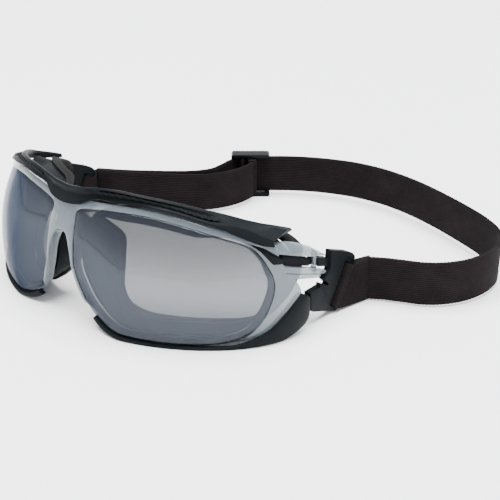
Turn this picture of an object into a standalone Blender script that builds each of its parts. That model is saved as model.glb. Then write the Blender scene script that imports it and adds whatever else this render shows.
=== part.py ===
"""Wrap-round motorcycle goggles standing on a table, front leaning back, head strap on its edge.

Frame: +Z up, table at Z = 0, the front faces -Y and +X is the wearer's left.
All numbers in the dimension block are millimetres or degrees.
"""
import math

import bmesh
import bpy
from mathutils import Matrix, Vector

MM = 0.001
CENTRE = (19.305, 92.3805)    # middle of the whole object in the drawing's coordinates (mm)

# --- wrap-round front surface -------------------------------------------------------------
WRAP_A = 79.0            # half width of the plan ellipse
WRAP_B = 57.0            # depth of the plan ellipse
BULGE_R = 66.5           # vertical bulge radius
BULGE_Z = 13.2           # height of the foremost line: low, because the front leans back
DIP = 5.2                # how far the nose sides fold back
DIP_TOP = 49.0           # height where that fold has died out
DIP_NEAR, DIP_FAR = 9.0, 32.0

# --- lens, rim and mouldings ---------------------------------------------------------------
LENS_T = 2.0             # lens thickness
RIM_LIFT = 0.25          # rim stands proud of the lens by this
POCKET_LIFT = -2.3       # floor of the lens pocket
BACK_LIFT = -3.8         # back of the front moulding
FIT = 0.28               # clearance between neighbouring pieces
LENS_MID = (0.72, 24.0)  # plan angle and height of the lens middle
SEAT = 1.2               # width of the pocket floor round the opening

# Lens edge and outer edge of the moulding, plan angle (rad) and height, clockwise from the bridge.
LENS_EDGE = (
    (0.100, 45.9), (0.200, 47.6), (0.340, 48.4), (0.530, 48.5), (0.724, 47.0), (0.912, 44.2),
    (1.070, 41.5), (1.170, 39.0), (1.230, 35.5), (1.275, 30.8), (1.305, 26.2), (1.305, 21.8),
    (1.272, 16.5), (1.215, 10.2), (1.130, 5.2), (1.020, 2.6), (0.884, 1.8), (0.720, 1.6),
    (0.560, 1.6), (0.400, 2.1), (0.290, 3.9), (0.225, 6.5), (0.170, 11.2), (0.132, 17.5),
    (0.105, 24.0), (0.099, 31.0), (0.096, 37.0), (0.094, 42.0))
RIM_EDGE = (
    (-0.04, 49.3), (0.195, 50.2), (0.340, 50.7), (0.532, 50.7), (0.732, 49.3), (0.926, 46.6),
    (1.105, 43.8), (1.270, 41.0), (1.362, 37.8), (1.372, 32.6), (1.420, 27.4), (1.490, 22.0),
    (1.525, 16.8), (1.490, 8.6), (1.330, 3.4), (1.090, 1.3), (0.890, 0.75), (0.720, 0.55),
    (0.555, 0.55), (0.386, 1.05), (0.270, 2.75), (0.206, 5.5), (0.154, 10.4), (0.117, 16.8),
    (0.088, 24.3), (0.070, 31.0), (0.034, 36.8), (-0.04, 38.4))
RIM_LOW = (15, 21.3)      # control points whose rim hides behind the lower guard
GUARD_HOLD = -1.9        # front of the moulding there

# --- lower guard ---------------------------------------------------------------------------
GUARD_IN = (
    (0.218, 6.0), (0.283, 3.45), (0.394, 1.65),
    (0.560, 1.15), (0.720, 1.15), (0.890, 1.35), (1.040, 2.0), (1.150, 3.6), (1.250, 5.8),
    (1.350, 10.4), (1.440, 14.6), (1.515, 17.3))
GUARD_OUT = (
    (0.195, 4.2), (0.265, 1.7), (0.385, 0.3),
    (0.560, 0.0), (0.720, 0.0), (0.890, 0.0), (1.060, 0.0), (1.200, 0.0), (1.340, 0.3),
    (1.470, 2.2), (1.570, 5.8), (1.574, 14.8))
GUARD_FRONT = (0.6, 1.1, 1.2, 1.2, 1.2, 1.4, 1.9, 2.4, 2.7, 2.8, 2.8, 2.6)
GUARD_BACK = (-1.5, -1.5, -1.5, -1.5, -1.5, -0.6, 0.55, 0.6, 0.6, 0.6, 0.6, 0.6)

# --- brow bar: rim line (plan angle, height) and ridge line (x, y, z) from centre to tip -----
BROW_RIM = (
    (0.00, 47.2), (0.10, 48.0), (0.21, 50.9), (0.35, 51.2), (0.53, 51.2), (0.73, 49.9),
    (0.90, 47.5), (1.01, 45.4), (1.09, 43.2), (1.17, 41.0), (1.26, 38.6), (1.34, 37.4))
BROW_RIDGE = (
    (0.0, 10.6, 54.6), (7.5, 11.0, 55.2), (14.5, 12.0, 56.3), (23.0, 14.0, 56.9),
    (33.5, 18.0, 56.0), (43.0, 23.8, 54.3), (51.0, 30.0, 51.8), (57.5, 36.2, 49.2),
    (61.9, 41.6, 46.8), (64.4, 47.4, 44.2), (66.2, 54.4, 41.4), (67.8, 61.6, 38.4))
BROW_FILL = (1.0, 1.0, 0.25, 0.0, 0.0, 0.0, 0.0, 0.35, 1.0, 1.0, 1.0, 1.0)
BROW_LIP = (3.6, 3.2, 1.0, 0.9, 0.9, 0.9, 1.0, 1.8, 3.0, 3.6, 3.4, 2.2)
BROW_LIFT = 1.7          # front of the brow above the wrap surface
FLAP_LIFT = 0.6          # back of the flap that overlaps the rim
VENT_SPAN = (6, 22)      # brow stations the vent strip covers
VENT_H = 0.7             # thickness of the strip
VENT_EDGES = (0.16, 0.86)  # how far across the channel floor its edges lie
BROW_WALL = 2.0          # thickness of the ridge
BROW_DEEP = 1.6          # least depth of the ridge
CHANNEL = 1.1            # depth of the vent channel

# --- temple arms, seen from the side -------------------------------------------------------
ARM_SLOPE = -0.36
ARM_Y0, ARM_Z0 = 57.0, 28.4
ARM_IN = 73.9
WINDOW = 2.1             # half height between the two arms
ARM_UPPER = ((43.0, 2.3, 3.8, 4.6), (47.0, 2.3, 3.9, 5.6), (52.0, 2.3, 3.8, 6.6),
             (58.0, 2.3, 3.7, 6.8), (64.0, 2.4, 3.6, 6.0), (69.0, 2.9, 3.6, 4.8),
             (71.3, 3.0, 3.3, 3.6))
ARM_LOWER = ((43.5, -7.0, -2.3), (48.0, -7.0, -2.3), (54.0, -6.8, -2.3), (62.0, -6.4, -2.3),
             (66.4, -5.9, -2.6), (67.6, -5.0, -2.9), (69.8, -4.6, -2.9), (70.6, -4.1, -3.1))
ARM_GROOVE = ((48.0, -4.9, -4.4), (54.0, -4.9, -4.4), (60.0, -4.9, -4.4), (68.8, -4.9, -4.4))
ARM_CREST = (-1.8, -3.6, -5.0)   # where the domed top climbs, peaks and ends behind the surface
PIN_X, PIN_Y, PIN_R = 76.2, 65.6, 1.15
INSERT = (48.2, 63.0)    # from where to where the soft insert fills the window
FACET = ((1.135, 40.9), (1.275, 37.6), (1.420, 31.6), (1.415, 30.5), (1.315, 31.2), (1.285, 33.4),
         (1.240, 36.8), (1.180, 39.6))   # recess between the lens and the window
FACET_DEEP = 1.2
CLIP_IN, CLIP_OUT = 76.6, 79.8
TONGUE, TONGUE_Y = 1.7, 63.8   # half height of the hook between the arms, and where it starts
SLOT_Y0, SLOT_LOW, SLOT_LEN = 72.9, 3.9, 18.9
SLOT_TILT = (0.493, 0.870)   # the slot leans back as it rises
SLOT_W, BAR_W = 2.7, 3.1

# --- strap and its fittings ---------------------------------------------------------------
STRAP_W = 19.0
STRAP_T = 1.3
STRAP_LOW = 0.45         # lower edge at the clips
STRAP_RISE = 0.022       # lower edge climbs towards the slider
BAND_PATH = (
    (84.0, 93.2), (90.0, 96.6), (97.0, 99.6), (104.0, 102.6), (110.0, 107.2), (115.2, 114.0),
    (118.4, 122.0), (119.6, 130.5), (118.2, 140.5), (112.6, 150.0), (102.5, 157.8),
    (91.2, 163.6), (77.9, 169.4), (64.6, 174.4), (52.3, 178.0), (39.9, 180.2), (28.5, 180.6),
    (18.0, 179.4), (7.6, 176.5), (-1.9, 172.6), (-11.4, 167.4), (-20.0, 161.3), (-29.0, 153.8),
    (-33.0, 149.0), (-34.0, 143.0), (-33.2, 135.0), (-33.6, 128.0), (-38.0, 121.0),
    (-46.0, 114.0), (-56.0, 107.0), (-67.0, 99.9), (-78.8, 93.7))
RETURN_PATH = (
    (-22.8, 148.0), (-22.4, 139.0), (-24.6, 130.0), (-29.6, 121.4), (-37.0, 115.0),
    (-46.0, 109.6), (-56.5, 103.4), (-67.0, 97.4), (-78.0, 92.1))
SLIDE_AT = (-29.0, 153.8)
SLIDE_DIR = (0.770, 0.638)
SLIDER_L, SLIDER_H, SLIDER_RAIL = 20.0, 22.8, 1.35
TAIL_LEFT = ((84.2, 91.8), (83.55, 92.95), (82.9, 94.1))
TAIL_RIGHT = ((79.5, 94.05), (78.85, 92.7), (78.2, 91.35))

# --- face seal ------------------------------------------------------------------------------
FACE_Y, FACE_BOW = 25.0, 0.0070
CHEEK, CHEEK_TOP = 14.0, 28.0   # how far forward the cheeks stand, and where they begin
NASION, NASION_Z, NASION_X = 11.0, 28.0, 26.0   # how the wall narrows at the top of the nose
WALL_T, WALL_IN = 1.6, 0.7      # thickness of the eye cup's wall, and how far inside the lens edge
WALL_LEAST = 2.2                # least depth of that wall
SEAL_T = 4.5
SEAL_FLARE = 1.4         # how much thicker the foam is at the temples
WING_FRONT, WING_CREST, WING_BACK = 3.0, 5.0, 1.2   # rise of the temple wing, front to back
SEAL_OUT = 0.015         # plan angle by which the eye cup widens at the temples
WING_SLANT = 5.0         # how far the foam falls away behind it
GASKET_LIFT = -4.15
NOSE_T = 1.9
NOSE_SPAN = (63, 75)     # outline samples the nose pads cover


def reset_scene():
    for obj in list(bpy.data.objects):
        bpy.data.objects.remove(obj, do_unlink=True)


def collection(name, hidden=False):
    col = bpy.data.collections.new(name)
    bpy.context.scene.collection.children.link(col)
    col.hide_render = hidden
    return col


reset_scene()
PARTS = collection("motorcycle_goggles")
CUTTERS = collection("cutters", hidden=True)


def material(name, colour, metallic=0.0, rough=0.5, alpha=1.0):
    mat = bpy.data.materials.new(name)
    mat.use_nodes = True
    shader = mat.node_tree.nodes["Principled BSDF"]
    shader.inputs["Base Color"].default_value = (*colour, 1.0)
    shader.inputs["Metallic"].default_value = metallic
    shader.inputs["Roughness"].default_value = rough
    shader.inputs["Alpha"].default_value = alpha
    return mat


def solid(name, verts, faces, col, side=1):
    """A mesh object from millimetre points; side -1 gives its twin across X = 0."""
    mesh = bpy.data.meshes.new(name)
    mesh.from_pydata([(side * x * MM, y * MM, z * MM) for x, y, z in verts], [], faces)
    bm = bmesh.new()
    bm.from_mesh(mesh)
    bmesh.ops.recalc_face_normals(bm, faces=bm.faces)
    bm.to_mesh(mesh)
    bm.free()
    obj = bpy.data.objects.new(name, mesh)
    obj.location = (-CENTRE[0] * MM, -CENTRE[1] * MM, 0.0)
    col.objects.link(obj)
    return obj


def part(name, verts, faces, mat, side=1):
    obj = solid(name, verts, faces, PARTS, side)
    obj.data.materials.append(mat)
    return obj


def cutter(name, verts, faces, side=1):
    obj = solid(name, verts, faces, CUTTERS, side)
    obj.display_type = 'WIRE'
    obj.hide_render = True
    return obj


def on_joint(obj, point, side=1):
    """Put the origin on the joint's axis and leave the shape where it is."""
    at = Vector((side * point[0], point[1], point[2])) * MM
    obj.data.transform(Matrix.Translation(-at))
    obj.location += at


def boolean(obj, tool, operation='DIFFERENCE'):
    mod = obj.modifiers.new(tool.name, 'BOOLEAN')
    mod.operation = operation
    mod.solver = 'EXACT'
    mod.object = tool


def soften(obj, width, segments=2, angle=35.0):
    mod = obj.modifiers.new("soften", 'BEVEL')
    mod.width = width * MM
    mod.segments = segments
    mod.limit_method = 'ANGLE'
    mod.angle_limit = math.radians(angle)
    mod.use_clamp_overlap = True


def ease(x):
    x = max(0.0, min(1.0, x))
    return x * x * (3.0 - 2.0 * x)


def shell_raw(t, z):
    sag = BULGE_R - math.sqrt(BULGE_R ** 2 - (z - BULGE_Z) ** 2)
    half, deep = WRAP_A - sag, WRAP_B - sag
    turn = math.pi / 2
    if abs(t) <= turn:
        x, y = half * math.sin(t), WRAP_B - deep * math.cos(t)
    else:
        x, y = math.copysign(half, t), WRAP_B + WRAP_A * (abs(t) - turn)
    fold = 1.0 - ease((abs(x) - DIP_NEAR) / (DIP_FAR - DIP_NEAR))
    return Vector((x, y + DIP * max(0.0, 1.0 - z / DIP_TOP) * fold, z))


def shell(t, z, lift=0.0):
    """Point of the wrap-round surface at plan angle t and height z, lifted outwards."""
    step = 0.01
    along = shell_raw(t + step, z) - shell_raw(t - step, z)
    upward = shell_raw(t, z + 0.5) - shell_raw(t, z - 0.5)
    return shell_raw(t, z) + along.cross(upward).normalized() * lift


def smooth(points, per, closed=False):
    """Catmull-Rom curve through points of any dimension, per samples to each gap."""
    pts = [Vector(p) for p in points]
    count = len(pts)
    out = []
    for i in range(count if closed else count - 1):
        quad = []
        for k in (i - 1, i, i + 1, i + 2):
            quad.append(pts[k % count] if closed else pts[max(0, min(count - 1, k))])
        a, b, c, d = quad
        for j in range(per):
            s = j / per
            out.append(0.5 * (2 * b + (c - a) * s + (2 * a - 5 * b + 4 * c - d) * s ** 2
                              + (3 * b - 3 * c + d - a) * s ** 3))
    if not closed:
        out.append(pts[-1])
    return out


def grow(outline, by):
    """Move a closed outline in (plan angle, height) outwards by a distance in millimetres."""
    pts = [Vector((p[0] * WRAP_A, p[1])) for p in outline]
    out = []
    for i, p in enumerate(pts):
        run = (pts[(i + 1) % len(pts)] - pts[i - 1]).normalized()
        q = p + Vector((-run.y, run.x)) * by
        out.append((q.x / WRAP_A, q.y))
    return out


def tube_faces(stations, ring, closed):
    """Quads round a loft of rings; an open loft gets flat end caps."""
    faces = []
    for i in range(stations if closed else stations - 1):
        j = (i + 1) % stations
        for k in range(ring):
            m = (k + 1) % ring
            faces.append((i * ring + k, i * ring + m, j * ring + m, j * ring + k))
    if not closed:
        faces.append(tuple(range(ring)))
        faces.append(tuple(range((stations - 1) * ring, stations * ring)))
    return faces


def loft(rings, closed=False):
    verts = [p for ring in rings for p in ring]
    return verts, tube_faces(len(rings), len(rings[0]), closed)


def disc(outline, middle, front, back, bands):
    """A curved plate: rings from the outline to its middle, on the front and on the back."""
    count = len(outline)
    verts, faces = [], []
    for lift in (front, back):
        for share in bands:
            for t, z in outline:
                verts.append(shell(middle[0] + (t - middle[0]) * share,
                                   middle[1] + (z - middle[1]) * share, lift))
        verts.append(shell(middle[0], middle[1], lift))
    half = len(bands) * count + 1
    for base in (0, half):
        for b in range(len(bands) - 1):
            for i in range(count):
                j = (i + 1) % count
                low, high = base + b * count, base + (b + 1) * count
                faces.append((low + i, low + j, high + j, high + i))
        last = base + (len(bands) - 1) * count
        for i in range(count):
            faces.append((last + i, last + (i + 1) % count, base + half - 1))
    for i in range(count):
        j = (i + 1) % count
        faces.append((i, j, half + j, half + i))
    return verts, faces


def prism(outline, x0, x1):
    """Side-view outline (y, z) given thickness between two x planes."""
    rings = [[(x0, y, z) for y, z in outline], [(x1, y, z) for y, z in outline]]
    return loft(rings)


def lists(bm):
    """Vertices and faces of a primitive, which is then let go."""
    verts = [v.co.copy() for v in bm.verts]
    faces = [[v.index for v in f.verts] for f in bm.faces]
    bm.free()
    return verts, faces


def box(x0, x1, y0, y1, z0, z1):
    bm = bmesh.new()
    bmesh.ops.create_cube(bm, size=1.0)
    middle = Vector(((x0 + x1) / 2, (y0 + y1) / 2, (z0 + z1) / 2))
    for v in bm.verts:
        v.co = middle + Vector((v.co.x * (x1 - x0), v.co.y * (y1 - y0), v.co.z * (z1 - z0)))
    return lists(bm)


def rod(x, y, radius, z0, z1, count=24):
    bm = bmesh.new()
    bmesh.ops.create_cone(bm, cap_ends=True, segments=count, radius1=radius, radius2=radius,
                          depth=z1 - z0)
    bmesh.ops.translate(bm, verts=bm.verts, vec=(x, y, (z0 + z1) / 2))
    return lists(bm)


def arm_z(y, above=0.0):
    return ARM_Z0 + ARM_SLOPE * (y - ARM_Y0) + above


SMOKE = dict(colour=(0.62, 0.72, 0.78), rough=0.12, alpha=0.62)
SATIN = dict(colour=(0.035, 0.042, 0.045), rough=0.42)
WEBBING = dict(colour=(0.022, 0.017, 0.018), rough=0.9)
FOAM = dict(colour=(0.045, 0.045, 0.043), rough=0.95)
RUBBER = dict(colour=(0.028, 0.030, 0.033), rough=0.7)


def front_frame():
    """Smoke-clear moulding: bridge, rims round both lenses, outer panels and temple arms."""
    per = 3
    lens = smooth(LENS_EDGE, per, closed=True)
    rim = smooth(RIM_EDGE, per, closed=True)
    pocket = grow(lens, FIT)
    opening = grow(lens, -SEAT)
    rings = []
    for i, edge in enumerate(rim):
        at = i / per
        low = ease(at - RIM_LOW[0] + 1.0) * ease(RIM_LOW[1] + 1.0 - at)
        front = RIM_LIFT + (GUARD_HOLD - RIM_LIFT) * low
        mid = ((edge[0] + pocket[i][0]) / 2, (edge[1] + pocket[i][1]) / 2)
        behind = ((edge[0] + opening[i][0]) / 2, (edge[1] + opening[i][1]) / 2)
        rings.append([shell(*edge, front), shell(*mid, front), shell(*pocket[i], front),
                      shell(*pocket[i], POCKET_LIFT), shell(*opening[i], POCKET_LIFT),
                      shell(*opening[i], BACK_LIFT), shell(*behind, BACK_LIFT),
                      shell(*edge, BACK_LIFT)])
    obj = part("front_frame", *loft(rings, closed=True), material("smoke_clear", **SMOKE))
    mirror = obj.modifiers.new("both_sides", 'MIRROR')
    mirror.use_bisect_axis[0] = True
    mirror.use_bisect_flip_axis[0] = False
    mirror.merge_threshold = 0.05 * MM
    for side, hand in ((1, "left"), (-1, "right")):
        boolean(obj, cutter("arm_upper_" + hand, *domed_arm(ARM_UPPER), side), 'UNION')
        boolean(obj, cutter("arm_lower_" + hand, *arm(ARM_LOWER), side), 'UNION')
        boolean(obj, cutter("groove_" + hand, *arm(ARM_GROOVE, -0.6, 2.0), side))
        boolean(obj, cutter("facet_" + hand, *facet(), side))
        boolean(obj, cutter("pin_bore_" + hand, *rod(PIN_X, PIN_Y, PIN_R + FIT, 18.0, 34.0), side))


def facet():
    return loft([[shell(*q, lift) for q in FACET] for lift in (-FACET_DEEP, 2.0)])


def domed_arm(rows):
    """Upper arm: a thin outer edge, and a top that climbs to a crest further in."""
    rings = []
    climb, peak, end = ARM_CREST
    for y, low, edge, crest in rows:
        t = arm_t(y)
        rings.append([level(t, arm_z(y, h), lift) for h, lift in (
            (low, end), (low, 0.1), ((low + edge) / 2, 0.35), (edge, 0.1),
            (edge + (crest - edge) * 0.7, climb), (crest, peak), (crest - 0.6, end))])
    return loft(rings)


def arm(rows, back=-3.6, front=0.1):
    """One temple arm: stations of (y, lower edge, upper edge) about the sloping middle line."""
    rings = []
    for y, low, high in rows:
        t = arm_t(y)
        mid = arm_z(y, (low + high) / 2)
        rings.append([level(t, arm_z(y, low), back), level(t, arm_z(y, low), front),
                      level(t, mid, front + 0.3 * (front < 1)), level(t, arm_z(y, high), front),
                      level(t, arm_z(y, high), back)])
    return loft(rings)


def level(t, z, lift):
    """Like shell, but the lift keeps to the height asked for."""
    p = shell(t, z, lift)
    return Vector((p.x, p.y, z))


def lens(side, hand):
    edge = smooth(LENS_EDGE, 3, closed=True)
    look = material("mirror_lens_" + hand, (0.72, 0.76, 0.80), 0.9, 0.06, 0.6)
    shape = disc(edge, LENS_MID, 0.0, -LENS_T, (1.0, 0.8, 0.58, 0.34, 0.14))
    part("lens_" + hand, *shape, look, side)


def lower_guard(side, hand):
    """Black lip under the lens that grows into the block at its outer corner."""
    per = 3
    rows = [smooth(rows, per) for rows in (GUARD_IN, GUARD_OUT)]
    front = smooth([(v, 0.0) for v in GUARD_FRONT], per)
    back = smooth([(v, 0.0) for v in GUARD_BACK], per)
    rings = []
    for a, b, f, r in zip(rows[0], rows[1], front, back):
        mid = ((a[0] + b[0]) / 2, (a[1] + b[1]) / 2)
        rings.append([shell(*a, f[0] - 0.35), shell(*mid, f[0]), shell(*b, f[0] - 0.5),
                      shell(*b, r[0]), shell(*mid, r[0]), shell(*a, r[0])])
    for ring in rings:
        for p in ring:
            p.z = max(p.z, 0.0)
    part("lower_guard_" + hand, *loft(rings), material("satin_guard_" + hand, **SATIN), side)


def brow_stations():
    per = 3
    rim = smooth(BROW_RIM, per)
    ridge = smooth(BROW_RIDGE, per)
    fill = [v[0] for v in smooth([(v, 0.0) for v in BROW_FILL], per)]
    lip = [v[0] for v in smooth([(v, 0.0) for v in BROW_LIP], per)]
    return list(zip(rim, ridge, fill, lip))


def rim_top(t):
    """Height of the upper rim edge at plan angle t."""
    top = [p for p in RIM_EDGE[1:10]]
    if t <= top[0][0]:
        return top[0][1]
    for a, b in zip(top, top[1:]):
        if t <= b[0]:
            return a[1] + (b[1] - a[1]) * (t - a[0]) / (b[0] - a[0])
    return top[-1][1]


def brow_section(rim, ridge, fill, lip):
    """Section of the brow: flap over the rim, vent channel, ridge, and the step that clears the rim."""
    t, low = rim
    foot = shell(t, low, BROW_LIFT)
    lip_top = shell(t, low + lip, BROW_LIFT - 0.25)
    inward = shell(t, low, -1.0) - shell(t, low, 0.0)
    inward.z = 0.0
    inward.normalize()
    top = Vector(ridge)
    front_top = top - inward * (BROW_WALL / 2) + Vector((0, 0, -0.5))
    back_top = top + inward * (BROW_WALL / 2) + Vector((0, 0, -0.4))
    face = (front_top - lip_top).normalized()
    drop = (inward - face * inward.dot(face)).normalized() * CHANNEL * (1.0 - fill)
    floor_out = front_top.lerp(lip_top, 0.8) + drop
    floor_in = front_top.lerp(lip_top, 0.25) + drop
    over = max(rim_top(t) + FIT + 0.1, low + 0.3)
    step_front = shell(t, over, FLAP_LIFT)
    floor_out.z = max(floor_out.z, over + 0.7)
    floor_in.z = max(floor_in.z, over + 0.8)
    back_low = back_top.copy()
    back_low.z = min(over, back_top.z - BROW_DEEP)
    return [foot, lip_top, floor_out, floor_in, front_top, top, back_top, back_low,
            step_front, shell(t, low, FLAP_LIFT)]


def brow_bar():
    half = [brow_section(*s) for s in brow_stations()]
    mirrored = [[Vector((-p.x, p.y, p.z)) for p in ring] for ring in reversed(half[1:])]
    part("brow_bar", *loft(mirrored + half), material("satin_brow", **SATIN))


def brow_vent(side, hand):
    """Soft strip lying in the vent channel."""
    rings = []
    for station in brow_stations()[VENT_SPAN[0]:VENT_SPAN[1]]:
        section = brow_section(*station)
        lip, out, back, front = section[1:5]
        up = (lip + front - out - back).normalized()
        a, b = (out.lerp(back, share) + up * (FIT + 0.05) for share in VENT_EDGES)
        rings.append([a, a + up * VENT_H * 0.8, a.lerp(b, 0.5) + up * VENT_H,
                      b + up * VENT_H * 0.9, b])
    part("brow_vent_" + hand, *loft(rings), material("vent_rubber_" + hand, **RUBBER), side)


def strap_clip(side, hand):
    """Hook plate on the temple pin, with the slanted slot and bar for the strap."""
    plate = [(58.9, 20.0), (65.6, 16.9), (70.8, 13.9), (71.3, 14.6), (68.3, 17.5), (72.0, 20.3),
             (72.2, 22.0), (72.6, 28.4), (84.8, 23.6), (87.6, 22.0), (89.3, 20.2), (89.5, 18.9),
             (88.2, 18.6), slant(SLOT_W + BAR_W, SLOT_LEN), slant(SLOT_W + BAR_W, 0.4),
             (77.4, 0.3), (76.4, 0.3), (61.4, 6.0), (59.9, 7.4)]
    obj = part("strap_clip_" + hand, *prism(plate, CLIP_IN, CLIP_OUT),
               material("satin_clip_" + hand, **SATIN), side)
    tongue = [(TONGUE_Y, arm_z(TONGUE_Y, -TONGUE)), (TONGUE_Y, arm_z(TONGUE_Y, TONGUE)),
              (74.0, arm_z(74.0, TONGUE)), (74.0, arm_z(74.0, -TONGUE))]
    boolean(obj, cutter("tongue_" + hand, *prism(tongue, ARM_IN + 0.3, CLIP_OUT - 1.6), side),
            'UNION')
    mouth = cutter("pin_mouth_" + hand, *rod(PIN_X, PIN_Y, PIN_R + FIT, 15.0, 40.0), side)
    boolean(obj, mouth)
    boolean(obj, cutter("pin_throat_" + hand,
                        *box(PIN_X - PIN_R - FIT, 85.0, 55.0, PIN_Y, 15.0, 40.0), side))
    slot = [slant(0, 0), slant(SLOT_W, 0), slant(SLOT_W, SLOT_LEN), slant(0, SLOT_LEN)]
    boolean(obj, cutter("strap_slot_" + hand, *prism(slot, CLIP_IN - 2, CLIP_OUT + 2), side))
    on_joint(obj, (PIN_X, PIN_Y, arm_z(PIN_Y)), side)


def hinge_pin(side, hand):
    part("hinge_pin_" + hand, *rod(PIN_X, PIN_Y, PIN_R, arm_z(PIN_Y, -3.4), arm_z(PIN_Y, 3.2)),
         material("pin_clear_" + hand, **SMOKE), side)


def temple_insert(side, hand):
    edge = WINDOW - FIT - 0.05
    rings = []
    first, last = INSERT
    for share in (0.0, 0.06, 0.25, 0.5, 0.75, 0.94, 1.0):
        y = first + (last - first) * share
        end = 0.75 if share in (0.0, 1.0) else 1.0
        t = arm_t(y)
        low, high, front = arm_z(y, -edge * end), arm_z(y, edge * end), -0.9 * (2 - end)
        rings.append([level(t, low, -3.2), level(t, high, -3.2), level(t, high, front),
                      level(t, low, front)])
    part("temple_insert_" + hand, *loft(rings), material("insert_rubber_" + hand, **RUBBER), side)


def face_y(p):
    """Depth of the face behind a point of the wall, shallow at the cheeks and over the nose."""
    cheek = CHEEK * ease((CHEEK_TOP - p.z) / CHEEK_TOP)
    nasion = NASION * ease((p.z - NASION_Z) / 16.0) * ease((NASION_X - p.x) / 18.0)
    return max(FACE_Y + FACE_BOW * p.x * p.x - cheek - nasion, p.y + WALL_LEAST)


def seal_rows(inset):
    """Outline inside the lens edge: rounder at the top of the nose, wider at the temple."""
    rows = grow(smooth(LENS_EDGE[1:], 3, closed=True), -inset)
    return [(t + SEAL_OUT * ease((t - 1.0) / 0.25), z) for t, z in rows]


def wing(q):
    """1 where the eye cup rises to the brow at the temple, fading to 0 elsewhere."""
    return ease((q[0] - 0.80) / 0.25) * ease((q[1] - 27.0) / 8.0)


def gasket(side, hand):
    """Wall that runs straight back from the moulding to the face, open through the middle."""
    outer, inner = seal_rows(WALL_IN), seal_rows(WALL_IN + WALL_T)
    rings = []
    for o, i in zip(outer, inner):
        rise = wing(o)
        a, b = (shell(t, z + rise * WING_FRONT, GASKET_LIFT) for t, z in (o, i))
        back = face_y(a)
        crest = Vector((0, 0, rise * (WING_CREST - WING_FRONT)))
        fall = Vector((0, 0, rise * (WING_BACK - WING_FRONT)))
        rings.append([a, Vector((a.x, (a.y + back) / 2, a.z)) + crest,
                      Vector((a.x, back, a.z)) + fall, Vector((b.x, back, b.z)) + fall,
                      Vector((b.x, (b.y + back) / 2, b.z)) + crest, b])
    part("gasket_" + hand, *loft(rings, closed=True), material("gasket_" + hand, **RUBBER), side)


def face_seal(side, hand):
    """Closed-cell foam ring that rests on the face."""
    outer, inner = seal_rows(WALL_IN - 1.0), seal_rows(WALL_IN + WALL_T + 0.8)
    wall = seal_rows(WALL_IN)
    rings = []
    for o, i, w in zip(outer, inner, wall):
        a, b, c = (shell(*q, GASKET_LIFT) for q in (o, i, w))
        y = face_y(c) + FIT + 0.15
        mid = (a + b) / 2
        thick = SEAL_T * (1.0 + SEAL_FLARE * wing(o))
        ring = []
        for at, share in ((a, 0.0), (a, 0.7), (mid, 1.0), (b, 0.7), (b, 0.0)):
            lift = wing(o) * (WING_BACK - WING_SLANT * share)
            ring.append(Vector((at.x, y + thick * share, at.z + lift)))
        rings.append(ring)
    part("face_seal_" + hand, *loft(rings, closed=True), material("seal_foam_" + hand, **FOAM), side)


def nose_pad(side, hand):
    """Soft pad on the nose side of the gasket wall."""
    wall = seal_rows(WALL_IN)
    rings = []
    for i in range(NOSE_SPAN[0], NOSE_SPAN[1] + 1):
        at = shell(*wall[i], GASKET_LIFT)
        run = shell(*wall[i + 1], GASKET_LIFT) - shell(*wall[i - 1], GASKET_LIFT)
        out = Vector((-run.z, 0.0, run.x)).normalized()
        if out.x > 0:
            out.negate()
        back = face_y(at) - 1.0
        ends = min(i - NOSE_SPAN[0], NOSE_SPAN[1] - i)
        thick = FIT + NOSE_T * (0.4 + 0.6 * ease(ends / 3.0))
        ring = []
        for y, depth in ((at.y + 1.6, FIT), (at.y + 1.6, thick * 0.8), ((at.y + back) / 2, thick),
                         (back, thick * 1.25), (back, FIT)):
            ring.append(Vector((at.x, y, at.z)) + out * depth)
        rings.append(ring)
    part("nose_pad_" + hand, *loft(rings), material("nose_rubber_" + hand, **RUBBER), side)


def arm_t(y):
    """Plan angle where the arms' middle line passes depth y."""
    if y >= WRAP_B:
        return math.pi / 2 + (y - WRAP_B) / WRAP_A
    z = arm_z(y)
    sag = BULGE_R - math.sqrt(BULGE_R ** 2 - (z - BULGE_Z) ** 2)
    return math.acos((WRAP_B - y) / (WRAP_B - sag))


def strap_low(x, y):
    """Height of the strap's lower edge: it climbs from the clips to the slider."""
    return STRAP_LOW + STRAP_RISE * max(0.0, y - 93.0)


def ribbon(path, per, thick, width=STRAP_W):
    """Upright webbing along a plan path."""
    line = smooth(path, per)
    rings = []
    for i, p in enumerate(line):
        run = (line[min(i + 1, len(line) - 1)] - line[max(i - 1, 0)]).normalized()
        across = Vector((-run.y, run.x)) * (thick / 2)
        low = strap_low(p.x, p.y)
        a, b = p + across, p - across
        rings.append([(a.x, a.y, low), (a.x, a.y, low + width), (b.x, b.y, low + width),
                      (b.x, b.y, low)])
    return loft(rings)


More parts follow.
